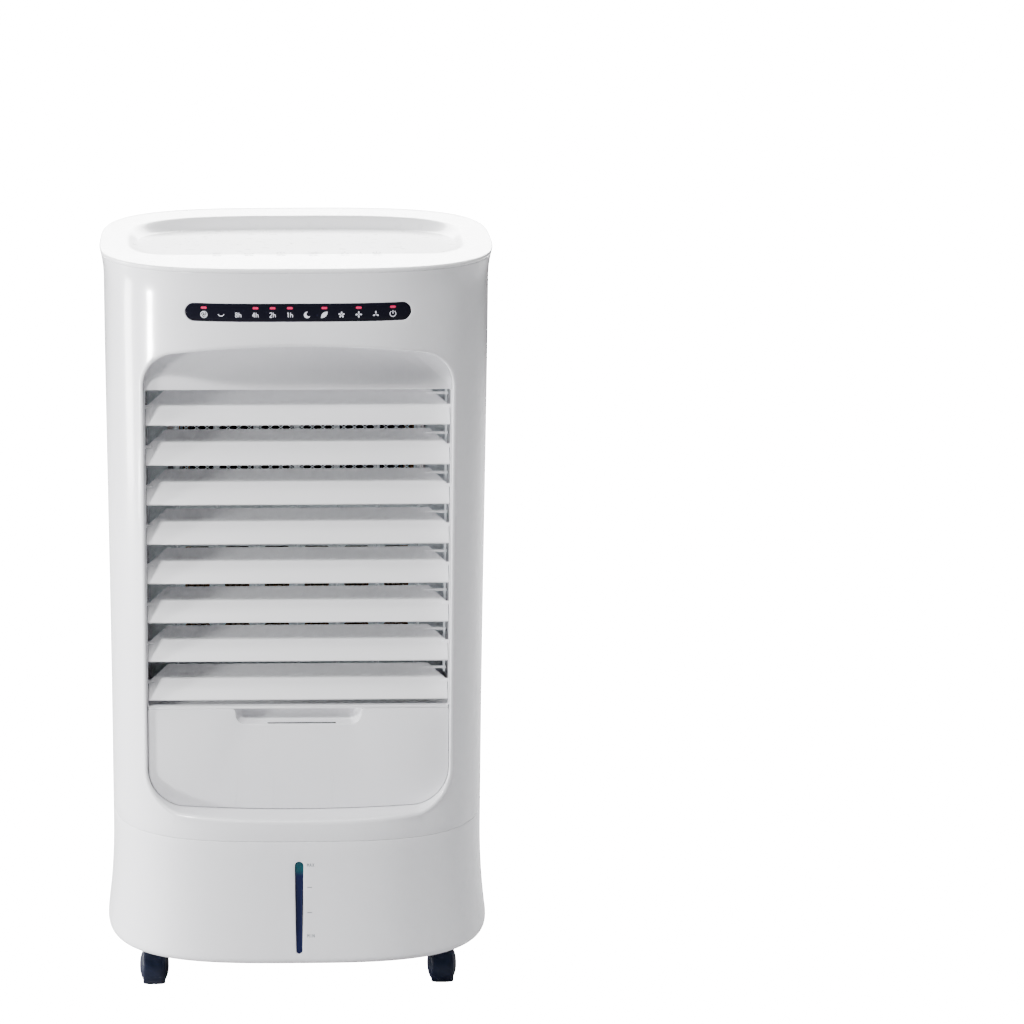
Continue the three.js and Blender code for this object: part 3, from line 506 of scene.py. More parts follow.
FILTER = woven("filter_mesh", (0.06, 0.065, 0.07), 900.0)
BOARD = circuit_board("circuit_board")
# The printed icons glow: painted light, since they are print and not lamps.
ICON_PAINTED_GLOW = glowing("icon_print_painted_glow", (0.62, 0.63, 0.70), 0.35)
LED_RED = glowing("led_red", (0.50, 0.010, 0.075), 0.75)
PRINT_GREY = moulded("print_grey", (0.22, 0.23, 0.26), 0.5, change=0.1)


# ---------------------------------------------------------------- mesh building
class Builder:
    """Collects points (millimetres) and faces for one piece."""

    def __init__(self):
        self.points = []
        self.faces = []

    def add(self, points):
        start = len(self.points)
        self.points += [Vector(p) for p in points]
        return list(range(start, len(self.points)))

    def strip(self, ring_a, ring_b, closed=True):
        n = len(ring_a)
        for i in range(n if closed else n - 1):
            j = (i + 1) % n
            self.faces.append((ring_a[i], ring_a[j], ring_b[j], ring_b[i]))

    def fan(self, ring, centre):
        c = self.add([centre])[0]
        for i in range(len(ring)):
            self.faces.append((ring[i], ring[(i + 1) % len(ring)], c))

    def face(self, ring):
        self.faces.append(tuple(ring))

    def make(self, name, material, sharp=35.0, weld=0.00001, outward=True):
        mesh = bpy.data.meshes.new(name)
        mesh.from_pydata([p * MM for p in self.points], [], self.faces)
        b = bmesh.new()
        b.from_mesh(mesh)
        bmesh.ops.remove_doubles(b, verts=b.verts, dist=weld)
        if outward:
            bmesh.ops.recalc_face_normals(b, faces=b.faces)
        for f in b.faces:
            f.smooth = True
        limit = math.radians(sharp)
        for e in b.edges:
            if len(e.link_faces) == 2 and e.calc_face_angle(0.0) > limit:
                e.smooth = False
        b.to_mesh(mesh)
        b.free()
        mesh.materials.append(material)
        piece = bpy.data.objects.new(name, mesh)
        bpy.context.scene.collection.objects.link(piece)
        return piece


def inside(point, loop):
    x, y = point
    result = False
    for (x0, y0), (x1, y1) in zip(loop, loop[1:] + loop[:1]):
        if (y0 > y) != (y1 > y) and x < x0 + (y - y0) * (x1 - x0) / (y1 - y0):
            result = not result
    return result


def convex(loop):
    n = len(loop)
    turns = set()
    for i in range(n):
        (x0, y0), (x1, y1), (x2, y2) = loop[i - 1], loop[i], loop[(i + 1) % n]
        cross = (x1 - x0) * (y2 - y1) - (y1 - y0) * (x2 - x1)
        if abs(cross) > 1e-4:
            turns.add(cross > 0)
    return len(turns) < 2


def triangulate(outer, holes, grid, clear=1.6):
    """Triangles that fill the outline outer, with holes left out. Returns 2D points, triangles and, for
    each outline, its
    points' places in the list. Grid points closer than clear to an outline are dropped."""
    loops = [outer] + holes
    points, edges, places = [], [], []
    for loop in loops:
        start = len(points)
        points += loop
        n = len(loop)
        places.append(list(range(start, start + n)))
        edges += [(start + i, start + (i + 1) % n) for i in range(n)]
    cell = {}
    for u, v in points:
        cell.setdefault((int(u // 4), int(v // 4)), []).append((u, v))
    boxes = [(min(p[0] for p in h), max(p[0] for p in h), min(p[1] for p in h),
              max(p[1] for p in h)) for h in holes]

    def allowed(u, v):
        cu, cv = int(u // 4), int(v // 4)
        for du in (-1, 0, 1):
            for dv in (-1, 0, 1):
                if any(math.dist((u, v), p) < clear for p in cell.get((cu + du, cv + dv), ())):
                    return False
        return not any(b[0] <= u <= b[1] and b[2] <= v <= b[3] and inside((u, v), h) for b,
                       h in zip(boxes, holes))

    points += [p for p in grid if allowed(*p)]
    out, _, faces, originals, _, _ = delaunay_2d_cdt([Vector(p) for p in points], edges, [], 0, 1e-5)
    where = {}
    for k, sources in enumerate(originals):
        for i in sources:
            where[i] = k
    kept = []
    hollow = not convex(outer)
    for f in faces:
        c = (sum(out[i].x for i in f) / len(f), sum(out[i].y for i in f) / len(f))
        if hollow and not inside(c, outer):
            continue
        if any(b[0] <= c[0] <= b[1] and b[2] <= c[1] <= b[3] and inside(c, h) for b, h in zip(boxes, holes)):
            continue
        kept.append(tuple(f))
    return [(p.x, p.y) for p in out], kept, [[where[i] for i in loop] for loop in places]


def outward_normals(loop, away):
    """2D unit normals of a closed outline. away is 1 to point out of it and -1 to point into it."""
    n = len(loop)
    area = sum(loop[i][0] * loop[(i + 1) % n][1] - loop[(i + 1) % n][0] * loop[i][1] for i in range(n))
    turn = away if area > 0 else -away
    normals = []
    for i in range(n):
        (x0, y0), (x1, y1) = loop[i - 1], loop[(i + 1) % n]
        length = max(math.dist((x0, y0), (x1, y1)), 1e-9)
        normals.append((turn * (y1 - y0) / length, -turn * (x1 - x0) / length))
    return normals


def steps_between(low, high, spacing):
    count = max(1, round((high - low) / spacing))
    return [low + (high - low) * i / count for i in range(count + 1)]


def surface_normal(s, z):
    ahead, behind = PLAN.point(s + 0.5, z), PLAN.point(s - 0.5, z)
    up, down = PLAN.point(s, z + 0.5), PLAN.point(s, z - 0.5)
    return (ahead - behind).cross(up - down).normalized()


def on_surface(s, z, depth):
    return PLAN.point(s, z) - surface_normal(s, z) * depth


def roll(builder, ring, loop, away, radius, depth, steps=4):
    """Rounds the patch's edge over by radius and carries it in to depth below the surface."""
    normals = outward_normals(loop, away)
    for k in range(1, steps + 1):
        a = math.pi / 2 * k / steps
        reach, drop = radius * math.sin(a), radius * (1 - math.cos(a))
        moved = [on_surface(s + n[0] * reach, z + n[1] * reach, drop) for (s, z), n in zip(loop, normals)]
        new = builder.add(moved)
        builder.strip(ring, new)
        ring = new
    new = builder.add([on_surface(s + n[0] * radius, z + n[1] * radius, depth) for (s, z),
                       n in zip(loop, normals)])
    builder.strip(ring, new)
    return new


def shell_patch(builder, s0, s1, z0, z1, holes):
    """The cabinet's skin between s0 and s1, z0 and z1. Returns the rings of its outline and holes with
    their loops."""
    columns = steps_between(s0, s1, 5.0)
    rows = [z0] + [z for z in ROWS if z0 + 2 < z < z1 - 2] + [z1]
    outer = [(s, z0) for s in columns] + [(s1, z) for z in rows[1:-1]]
    outer += [(s, z1) for s in reversed(columns)] + [(s0, z) for z in reversed(rows[1:-1])]
    grid = [(s, z) for s in columns[1:-1] for z in rows[1:-1]]
    flat, faces, loops = triangulate(outer, holes, grid)
    ids = builder.add([PLAN.point(s, z) for s, z in flat])
    builder.faces += [tuple(ids[i] for i in f) for f in faces]
    return [([ids[i] for i in ring], loop) for ring, loop in zip(loops, [outer] + holes)]


def front_loop(outline):
    return [(PLAN.s_front(x), z) for x, z in outline]


def back_loop(outline):
    return [(PLAN.s_back(x), z) for x, z in outline]


def fit(piece, body, slot, *nodes):
    """The piece rides on the body and stands for the nodes. The slot is not used."""
    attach(piece, body)
    if nodes:
        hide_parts(*nodes)
    return piece


def rounded_polygon(corners, steps=6):
    """A closed outline from (u, v, r) corners, each turned with radius r."""
    points = []
    n = len(corners)
    for i, (u, v, r) in enumerate(corners):
        here = Vector((u, v))
        if r <= 0:
            points.append((u, v))
            continue
        before = (Vector(corners[i - 1][:2]) - here).normalized()
        after = (Vector(corners[(i + 1) % n][:2]) - here).normalized()
        half = before.angle(after) / 2
        cut = r / math.tan(half)
        middle = here + (before + after).normalized() * (r / math.sin(half))
        start, end = here + before * cut, here + after * cut
        a0 = math.atan2(start.y - middle.y, start.x - middle.x)
        a1 = math.atan2(end.y - middle.y, end.x - middle.x)
        turn = (a1 - a0 + math.pi) % (2 * math.pi) - math.pi
        points += [(middle.x + r * math.cos(a0 + turn * k / steps),
                    middle.y + r * math.sin(a0 + turn * k / steps))
                   for k in range(steps + 1)]
    return points


def slab(builder, place, outline, low, high, radius, holes=(), steps=3, grid=()):
    """A plate between w = low and w = high with its edges rounded; place turns (u, v, w) into a point."""
    loops = [outline] + list(holes)
    ways = [outward_normals(loop, 1) for loop in loops[:1]] + [outward_normals(loop,
                                                                               -1) for loop in loops[1:]]
    inner = [[(u - n[0] * radius, v - n[1] * radius) for (u, v), n in zip(loop, way)] for loop,
             way in zip(loops, ways)]
    flat, faces, places = triangulate(inner[0], inner[1:], list(grid))
    edges = []
    for w, inward in ((low, 1), (high, -1)):
        ids = builder.add([place(u, v, w) for u, v in flat])
        builder.faces += [tuple(ids[i] for i in (f if inward < 0 else reversed(f))) for f in faces]
        rims = []
        for loop, way, ring in zip(inner, ways, places):
            last = [ids[i] for i in ring]
            for k in range(1, steps + 1):
                a = math.pi / 2 * k / steps
                reach, drop = radius * math.sin(a), radius * (1 - math.cos(a))
                new = builder.add([place(u + n[0] * reach, v + n[1] * reach, w + inward * drop)
                                   for (u, v), n in zip(loop, way)])
                builder.strip(last, new)
                last = new
            rims.append(last)
        edges.append(rims)
    for one, other in zip(*edges):
        builder.strip(one, other)


def lathe(builder, place, profile, count=32):
    """Turns a profile of (radius, along) points; place takes (u, v, along)."""
    last = None
    for r, along in profile:
        if r < 1e-6:
            ring = None
            tip = builder.add([place(0, 0, along)])[0]
            if last is not None:
                builder.faces += [(last[i], last[(i + 1) % count], tip) for i in range(count)]
            last_tip = tip
        else:
            ring = builder.add([place(r * math.cos(2 * math.pi * i / count),
                                      r * math.sin(2 * math.pi * i / count),
                                      along) for i in range(count)])
            if last is not None:
                builder.strip(last, ring)
            elif along != profile[0][1] or profile[0][0] < 1e-6:
                builder.faces += [(ring[(i + 1) % count], ring[i], last_tip) for i in range(count)]
        last = ring


def facing_front(u, v, w):
    return Vector((u, w, v))


# ---------------------------------------------------------------- cabinet pieces
def outlet_wall(builder, ring, outline):
    """The rounded mouth of the recess and its straight wall back to the flat plane."""
    normals = outward_normals(outline, -1)
    steps = 8
    for k in range(1, steps + 1):
        a = math.pi / 2 * k / steps
        reach, drop = OUTLET_FILLET * math.sin(a), OUTLET_FILLET * (1 - math.cos(a))
        moved = [(x + n[0] * reach, z + n[1] * reach) for (x, z), n in zip(outline, normals)]
        new = builder.add([(x, drop - surface_y(x) - flare(z), z) for x, z in moved])
        builder.strip(ring, new)
        ring = new
    new = builder.add([(x, RECESS_Y + WALL, z) for x, z in moved])
    builder.strip(ring, new)


def front_shell():
    b = Builder()
    seam = PLAN.s_right(BACK_SEAM_Y) - SEAM_GAP - EDGE
    outlet = outlet_outline(OUTLET_FILLET)
    grip = grip_outline(SEAM_GAP + GRIP_EDGE)
    holes = [
        front_loop(outlet),
        front_loop(display_outline(SEAM_GAP + EDGE)),
        [(PLAN.length + PLAN.s_right(y), z) for y, z in grip],
        [(PLAN.length / 2 - PLAN.s_right(y), z) for y, z in grip],
    ]
    rings = shell_patch(b, PLAN.length / 2 - seam, PLAN.length + seam, BASE_SEAM + SEAM_GAP + EDGE,
                        DECK_SEAM - EDGE,
                        holes)
    roll(b, *rings[0], 1, EDGE, WALL)
    outlet_wall(b, rings[1][0], outlet)
    roll(b, *rings[2], -1, EDGE, WALL)
    roll(b, *rings[3], -1, GRIP_EDGE, WALL)
    roll(b, *rings[4], -1, GRIP_EDGE, WALL)
    fit(b.make("front_shell_skin", WHITE), "cabinet", "cabinet_white", "front_shell")


def back_panel():
    b = Builder()
    seam = PLAN.s_right(BACK_SEAM_Y) + SEAM_GAP + EDGE
    gland = circle_outline(GLAND[0], GLAND[1], GLAND_HOLE + EDGE)
    holes = [back_loop(grille_outline(SEAM_GAP + EDGE)), back_loop(gland)]
    rings = shell_patch(b, seam, PLAN.length / 2 - seam, BASE_SEAM + SEAM_GAP + EDGE, DECK_SEAM - EDGE, holes)
    roll(b, *rings[0], 1, EDGE, WALL)
    roll(b, *rings[1], -1, EDGE, WALL)
    roll(b, *rings[2], -1, EDGE, WALL)
    fit(b.make("back_panel_skin", WHITE), "cabinet", "cabinet_white", "back_panel")


def base_shell():
    b = Builder()
    start = PLAN.length / 4
    low, high = UNDERSIDE + FOOT_RADIUS, BASE_SEAM - SEAM_GAP - EDGE
    holes = [front_loop(window_outline(SEAM_GAP + EDGE)),
             back_loop(circle_outline(DRAIN[0], DRAIN[1], DRAIN_RECESS + EDGE))]
    rings = shell_patch(b, start, start + PLAN.length, low, high, holes)
    outer = rings[0]
    top = [(i, p) for i, p in zip(*outer) if abs(p[1] - high) < 0.01]
    ring, loop = [i for i, _ in top], [p for _, p in top]
    for k in range(1, 5):
        a = math.pi / 2 * k / 4
        new = b.add([on_surface(s, z + EDGE * math.sin(a), EDGE * (1 - math.cos(a))) for s, z in loop])
        b.strip(ring, new, closed=False)
        ring = new
    b.strip(ring, b.add([on_surface(s, high + EDGE, WALL) for s, z in loop]), closed=False)
    foot = [(i, p) for i, p in zip(*outer) if abs(p[1] - low) < 0.01]
    ring, loop = [i for i, _ in foot], [p for _, p in foot]
    for k in range(1, 9):
        a = math.pi / 2 * k / 8
        z, inset = low - FOOT_RADIUS * math.sin(a), FOOT_RADIUS * (1 - math.cos(a))
        new = b.add([PLAN.point(s, z, inset) for s, _ in loop])
        b.strip(ring, new, closed=False)
        ring = new
    for inset in (14, 60, 120):
        new = b.add([PLAN.point(s, UNDERSIDE, inset) for s, _ in loop])
        b.strip(ring, new, closed=False)
        ring = new
    centre = b.add([(0, 0, UNDERSIDE)])[0]
    b.faces += [(ring[i], ring[i + 1], centre) for i in range(len(ring) - 1)]
    roll(b, *rings[1], -1, EDGE, WALL)
    roll(b, *rings[2], -1, EDGE, WALL)
    fit(b.make("base_shell_skin", WHITE), "cabinet", "cabinet_white", "base_shell")


def top_height(x, y):
    """Height of the top panel: a level rim, and a tray whose floor falls towards the back."""
    q = (abs(x / TRAY_HALF_WIDTH) ** PLAN_POWER + abs(y / TRAY_HALF_DEPTH) ** PLAN_POWER) ** (1 / PLAN_POWER)
    if q >= 1 or y <= TRAY_FRONT_Y:
        return TOP_Z
    fall = TRAY_FALL * (y - TRAY_FRONT_Y) / (TRAY_HALF_DEPTH - TRAY_FRONT_Y)
    slope = 0.075 + 0.10 * max(0.0, y / TRAY_HALF_DEPTH) ** 2
    share = min(1.0, (1 - q) / slope)
    return TOP_Z - fall * share * share * (3 - 2 * share)


def top_panel():
    b = Builder()
    count = 720
    angles = [PLAN.angle(PLAN.length * i / count) for i in range(count)]
    low = DECK_SEAM + 0.3

    def ring_at(inset, z):
        return [Vector((*PLAN.at_angle(t, flare(z) - inset), z)) for t in angles]

    rings = [ring_at(6.0, low), ring_at(EDGE, low), ring_at(0.0, low + EDGE),
             ring_at(0.0, TOP_Z - RIM_RADIUS)]
    for k in range(1, 7):
        a = math.pi / 2 * k / 6
        rings.append(ring_at(RIM_RADIUS * (1 - math.cos(a)), TOP_Z - RIM_RADIUS * (1 - math.sin(a))))
    edge = rings[-1]
    power = 2 / PLAN_POWER
    tray = [(TRAY_HALF_WIDTH * spower(math.cos(t), power), TRAY_HALF_DEPTH * spower(math.sin(t), power))
            for t in angles]
    for share in (0.2, 0.4, 0.6, 0.8):
        rings.append([Vector((p.x + (1.02 * u - p.x) * share, p.y + (1.02 * v - p.y) * share, TOP_Z))
                      for p, (u, v) in zip(edge, tray)])
    scales = [1.02 - 0.005 * i for i in range(56)] + [0.74 - 0.045 * i for i in range(1, 16)]
    for q in scales:
        rings.append([Vector((q * u, q * v, top_height(q * u, q * v))) for u, v in tray])
    last = b.add(rings[0])
    for ring in rings[1:]:
        new = b.add(ring)
        b.strip(last, new)
        last = new
    b.fan(last, (0, 0, top_height(0, 0)))
    # The top panel's lighter white is painted light on the cabinet's own white finish.
    fit(b.make("top_panel_skin", TOP_WHITE_PAINTED_LIGHT, sharp=60), "cabinet", "cabinet_white", "top_panel")


def bowed_plate(builder, outline, to_s, start, depth, radius, spacing=4.0):
    """A plate that follows the cabinet's surface, start below it, with rounded edges."""
    loop = [(to_s(u), z) for u, z in outline]
    grid = [(s, z) for s in steps_between(min(p[0] for p in loop), max(p[0] for p in loop), spacing)
            for z in steps_between(min(p[1] for p in loop), max(p[1] for p in loop),
                                   spacing) if inside((s, z), loop)]
    flat, faces, places = triangulate(loop, [], grid, 1.0)
    ids = builder.add([on_surface(s, z, start) for s, z in flat])
    builder.faces += [tuple(ids[i] for i in f) for f in faces]
    ring = [ids[i] for i in places[0]]
    normals = outward_normals(loop, 1)
    for k in range(1, 5):
        a = math.pi / 2 * k / 4
        reach, drop = radius * math.sin(a), start + radius * (1 - math.cos(a))
        new = builder.add([on_surface(s + n[0] * reach, z + n[1] * reach, drop) for (s, z),
                           n in zip(loop, normals)])
        builder.strip(ring, new)
        ring = new
    new = builder.add([on_surface(s + n[0] * radius, z + n[1] * radius, depth) for (s, z),
                       n in zip(loop, normals)])
    builder.strip(ring, new)


def display_lens():
    b = Builder()
    bowed_plate(b, display_outline(-0.1 - EDGE), PLAN.s_front, 0.3, 2.6, EDGE)
    fit(b.make("display_lens", LENS_BLACK), "cabinet", "display_black", "display_window")


def level_lens():
    b = Builder()
    bowed_plate(b, window_outline(-0.1 - EDGE), PLAN.s_front, 0.6, 3.0, EDGE, 3.0)
    fit(b.make("level_lens", WINDOW_DARK), "cabinet", "window_smoked", "level_window")


def grip_cup(side):
    b = Builder()
    outline = grip_outline(-SEAM_GAP)
    normals = outward_normals(outline, -1)
    rings = [[(side * (surface_x(y) + flare(z) - 0.8), y, z) for y, z in outline]]
    rings.append([(side * (GRIP["floor"] + GRIP_FLOOR_RADIUS), y, z) for y, z in outline])
    for k in range(1, 7):
        a = math.pi / 2 * k / 6
        reach, drop = GRIP_FLOOR_RADIUS * (1 - math.cos(a)), GRIP_FLOOR_RADIUS * (1 - math.sin(a))
        rings.append([(side * (GRIP["floor"] + drop), y + n[0] * reach, z + n[1] * reach)
                      for (y, z), n in zip(outline, normals)])
    last = b.add(rings[0])
    for ring in rings[1:]:
        new = b.add(ring)
        b.strip(last, new)
        last = new
    b.fan(last, (side * GRIP["floor"], (GRIP["y0"] + GRIP["y1"]) / 2, (GRIP["z0"] + GRIP["z1"]) / 2))
    name = "right" if side > 0 else "left"
    fit(b.make(f"grip_cup_{name}", WHITE), "cabinet", "cabinet_white", f"side_grip_{name}")


# ---------------------------------------------------------------- outlet
def clip(points, keep, cross):
    """The part of a closed outline where keep(point) is true; cross(p, q) is where an edge leaves it."""
    result = []
    for p, q in zip(points, points[1:] + points[:1]):
        if keep(p):
            result.append(p)
        if keep(p) != keep(q):
            result.append(cross(p, q))
    return result


def at_height(level):
    def cross(p, q):
        share = (level - p[1]) / (q[1] - p[1])
        return (p[0] + share * (q[0] - p[0]), level)
    return cross


def outlet_frame():
    b = Builder()
    rim = outlet_outline(-0.3, 4.0)
    brow = clip(rim, lambda p: p[1] > DUCT_LIP, at_height(DUCT_LIP))
    slab(b, facing_front, brow, RECESS_Y, RECESS_Y + WALL, 0.8, grid=[])
    half = DUCT_HALF - 1
    corners = [(-half, DUCT_SILL, 2.5), (half, DUCT_SILL, 2.5), (half, DUCT_LIP, 2.5), (-half, DUCT_LIP, 2.5)]
    bore = rounded_polygon(corners)
    sleeve = rounded_polygon([(math.copysign(half + 0.8, u), v + (0.8 if v > 400 else -0.8), 3) for u, v,
                              _ in corners])
    mouth = b.add([(u, RECESS_Y + 0.4, v) for u, v in sleeve])
    lip = b.add([(u, RECESS_Y + 0.1, v) for u, v in rounded_polygon(
        [(math.copysign(half + 0.4, u), v + (0.4 if v > 400 else -0.4), 2.8) for u, v, _ in corners])])
    front = b.add([(u, RECESS_Y + 0.6, v) for u, v in bore])
    back = b.add([(u, DUCT_BACK_Y, v) for u, v in bore])
    b.strip(mouth, lip)
    b.strip(lip, front)
    b.strip(front, back)
    sill = rounded_polygon(SILL_PROFILE)
    slab(b, lambda u, v, w: Vector((w, u, v)), sill, -half, half, 0.2)
    fit(b.make("outlet_frame_shaped", WHITE), "cabinet", "cabinet_white", "outlet_frame")


def louvre(index):
    z = LOUVRE_FIRST_Z + index * LOUVRE_PITCH
    turn = Matrix.Rotation(LOUVRE_TILT, 3, "X")
    pivot = Vector((0, LOUVRE_PIVOT_Y, z))

    def place(u, v, w):
        return pivot + turn @ Vector((u, v, w))

    def across(u, v, w):
        return pivot + turn @ Vector((w, u, v))

    b = Builder()
    h, cut = LOUVRE_HALF, LOUVRE_CHAMFER
    blade = rounded_polygon([(-h, -LOUVRE_FRONT, 1.2), (h, -LOUVRE_FRONT, 1.2), (h, LOUVRE_REAR - cut, 3),
                             (h - cut, LOUVRE_REAR, 3), (-h + cut, LOUVRE_REAR, 3), (-h, LOUVRE_REAR - cut,
                                                                                     3)], 4)
    half = LOUVRE_THICK / 2
    slab(b, place, blade, -half, half, half * 0.85)
    end = DUCT_HALF + 2
    for low, high in ((h - 6, end), (-end, -h + 6)):
        lathe(b, across,
              [(1e-7, low), (1.6, low), (2.0, low + 0.4), (2.0, high - 0.4), (1.6, high), (1e-7, high)], 16)
    pin_end = LOUVRE_LINK_X + 2
    lathe(b, lambda u, v, w: pivot + turn @ Vector((w, u + LOUVRE_CRANK, v)),
          [(1e-7, h - cut - 4), (1.5, h - cut - 4), (1.5, pin_end - 0.5), (1.2, pin_end - 0.1),
           (1e-7, pin_end)], 16)
    piece = b.make(f"louvre_{index + 1}_blade", LOUVRE_WHITE)
    fit(piece, f"louvre_{index + 1}", "louvre_white", f"louvre_{index + 1}")


def vane(index):
    x = (index - (VANES - 1) / 2) * VANE_PITCH
    b = Builder()
    outline = rounded_polygon([(-12, 322, 2), (8, 322, 1), (8, 333, 1), (22, 333, 2), (22, 655, 4),
                               (-12, 655, 4)], 5)
    slab(b, lambda u, v, w: Vector((x + w, VANE_PIVOT_Y + u, v)), outline, -1.0, 1.0, 0.7)
    for low, high in ((318, 326), (651, 659)):
        lathe(b, lambda u, v, w: Vector((x + u, VANE_PIVOT_Y + v, w)),
              [(1e-7, low), (1.8, low), (2.0, low + 0.3), (2.0, high - 0.3), (1.8, high), (1e-7, high)], 16)
    lathe(b, lambda u, v, w: Vector((x + u, VANE_PIVOT_Y + 15 + v, w)),
          [(1e-7, 328), (1.2, 328), (1.5, 328.3), (1.5, 339), (1e-7, 339)], 16)
    fit(b.make(f"vane_{index + 1}_blade", INNER_WHITE), f"vane_{index + 1}", "inner_white",
        f"vane_{index + 1}")


def air_guard():
    b = Builder()
    y = DUCT_BACK_Y + 0.3
    half = DUCT_HALF - 1
    holes = [rounded_rectangle(-MESH_HALF, MESH_HALF, MESH_LOW, MESH_HIGH, 3, 4)]
    for i in range(VANES - 1):
        x = (i - (VANES - 2) / 2) * VANE_PITCH
        for z in LADDER:
            holes.append(rounded_rectangle(x - 13, x + 13, z, z + 4.6, 2.2, 1.5))
    outer = rounded_polygon([(-half, DUCT_SILL, 2), (half, DUCT_SILL, 2), (half, DUCT_LIP, 2),
                             (-half, DUCT_LIP, 2)])
    slab(b, facing_front, outer, y, y + 2.5, 0.6, holes, 2)
    for i in range(VANES):
        x = (i - (VANES - 1) / 2) * VANE_PITCH
        rib = rounded_polygon([(x - 3.2, y + 1, 0.3), (x + 3.2, y + 1, 0.3), (x + 3.2, y - 2.2, 2.6),
                               (x - 3.2, y - 2.2, 2.6)])
        slab(b, lambda u, v, w: Vector((u, v, w)), rib, DUCT_SILL + 1, DUCT_LIP - 1, 0.3)
    fit(b.make("air_guard_shaped", INNER_WHITE), "cabinet", "inner_white", "air_guard")


def diamond_mesh():
    b = Builder()
    y = DUCT_BACK_Y + 3.1
    w, low, high = MESH_HALF + 4, MESH_LOW - 4, MESH_HIGH + 4
    rise, run = 8.5, 11.0
    slope = rise / run
    thick = 0.55
    for way in (1, -1):
        reach = w + (high - low) / slope
        count = int(2 * reach / run)
        for i in range(count):
            x0 = -reach + i * run
            ends = []
            for z in (low, high):
                ends.append(((x0 + (z - low) / slope) * way, z))
            (xa, za), (xb, zb) = ends
            if xa > xb:
                xa, za, xb, zb = xb, zb, xa, za
            if xb < -w or xa > w:
                continue
            if xa < -w:
                za += (zb - za) * (-w - xa) / (xb - xa)
                xa = -w
            if xb > w:
                zb = za + (zb - za) * (w - xa) / (xb - xa)
                xb = w
            along = Vector((xb - xa, zb - za)).normalized()
            side = Vector((-along.y, along.x)) * thick
            rings = []
            for x, z in ((xa, za), (xb, zb)):
                rings.append(b.add([(x + side.x, y, z + side.y), (x, y - 0.5, z), (x - side.x, y, z - side.y),
                                    (x, y + 0.5, z)]))
            b.strip(rings[0], rings[1])
    border = rounded_rectangle(-w, w, low, high, 2, 4)
    opening = rounded_rectangle(-w + 3, w - 3, low + 3, high - 3, 2, 4)
    slab(b, facing_front, border, y, y + 1.0, 0.3, [opening], 2)
    fit(b.make("guard_mesh_wires", INNER_WHITE, outward=False), "cabinet", "inner_white", "guard_mesh")


# ---------------------------------------------------------------- filler drawer
def notch_scoop(builder):
    """The shallow pocket behind the cover's notch, where fingers pull the drawer."""
    rows = []
    for back, rise in SCOOP_STEPS:
        half = NOTCH_TOP + 0.6 - back * SCOOP_DRAFT
        row = []
        for k in range(SCOOP_COUNT + 1):
            across = -1 + 2 * k / SCOOP_COUNT
            share = min(1.0, (1 - abs(across)) / SCOOP_CORNER)
            fall = (NOTCH_DEPTH + 0.5 - rise) * math.sqrt(1 - (1 - share) ** 2)
            row.append((half * across, RECESS_Y + WALL - 0.3 + back, COVER_TOP - 0.4 - fall))
        rows.append(builder.add(row))
    for row, further in zip(rows, rows[1:]):
        builder.strip(row, further, closed=False)


def pull_slot_painted_shade():
    """A black strip along the foot of the notch: painted shade standing in for the shadowed slit there."""
    b = Builder()
    low = COVER_TOP - NOTCH_DEPTH + 0.4
    y = RECESS_Y + WALL - 0.6
    slab(b, facing_front, rounded_rectangle(-33, 40, low, low + 1.1, 0.5, 2), y, y + 0.5, 0.1)
    # The black sheet is painted shade on the white cover, where the slit lies in shadow.
    fit(b.make("pull_slot_painted_shade", INNER_BLACK), "filler_drawer", "cabinet_white")


def filler_cover():
    b = Builder()
    outline = clip(outlet_outline(-0.6, 4.0), lambda p: p[1] < COVER_TOP - 2, at_height(COVER_TOP - 2))
    turn = next(i for i in range(len(outline)) if outline[i][0] > 0 and outline[i][1] > COVER_TOP - 2.01)
    top = COVER_TOP
    edge = OUTLET["half"] - 0.6
    notch = rounded_polygon([
        (edge, top - 2, 0), (edge, top, 1.2), (NOTCH_TOP, top, 3), (NOTCH_FOOT, top - NOTCH_DEPTH, 10),
        (-NOTCH_FOOT, top - NOTCH_DEPTH, 10), (-NOTCH_TOP, top, 3), (-edge, top, 1.2), (-edge, top - 2,
                                                                                        0)], 6)
    points = outline[:turn + 1] + notch[1:-1] + outline[turn + 1:]
    slab(b, facing_front, resample(points, 2.5), RECESS_Y, RECESS_Y + WALL, 0.6)
    notch_scoop(b)
    fit(b.make("filler_cover_shaped", WHITE), "filler_drawer", "cabinet_white", "filler_cover")


# ---------------------------------------------------------------- rear
def rear_grille():
    b = Builder()
    outline = back_loop(grille_outline(-SEAM_GAP - EDGE))
    holes = []
    for i in range(GRILLE_ROWS):
        z = GRILLE["z0"] + 18 + i * GRILLE_PITCH
        for x0, x1 in ((-128, -6), (6, 128)):
            holes.append(back_loop(rounded_rectangle(x0, x1, z, z + 6.5, 3.2, 2.5)))
    grid = [(s, z) for s in steps_between(PLAN.s_back(143), PLAN.s_back(-143), 6.0)
            for z in steps_between(GRILLE["z0"] + 2, GRILLE["z1"] - 2, 6.0)]
    grid = [p for p in grid if inside(p, outline)]
    flat, faces, places = triangulate(outline, holes, grid, 1.2)
    ids = b.add([on_surface(s, z, 0.6) for s, z in flat])
    b.faces += [tuple(ids[i] for i in f) for f in faces]
    for k, (ring, loop) in enumerate(zip(places, [outline] + holes)):
        normals = outward_normals(loop, 1 if k == 0 else -1)
        last = [ids[i] for i in ring]
        for a, depth in ((math.pi / 4, None), (math.pi / 2, None), (math.pi / 2, 3.2)):
            reach = EDGE * math.sin(a)
            drop = 0.6 + EDGE * (1 - math.cos(a)) if depth is None else depth
            new = b.add([on_surface(s + n[0] * reach, z + n[1] * reach, drop) for (s, z),
                         n in zip(loop, normals)])
            b.strip(last, new)
            last = new
    fit(b.make("rear_grille_slotted", WHITE), "rear_filter", "cabinet_white", "rear_grille")


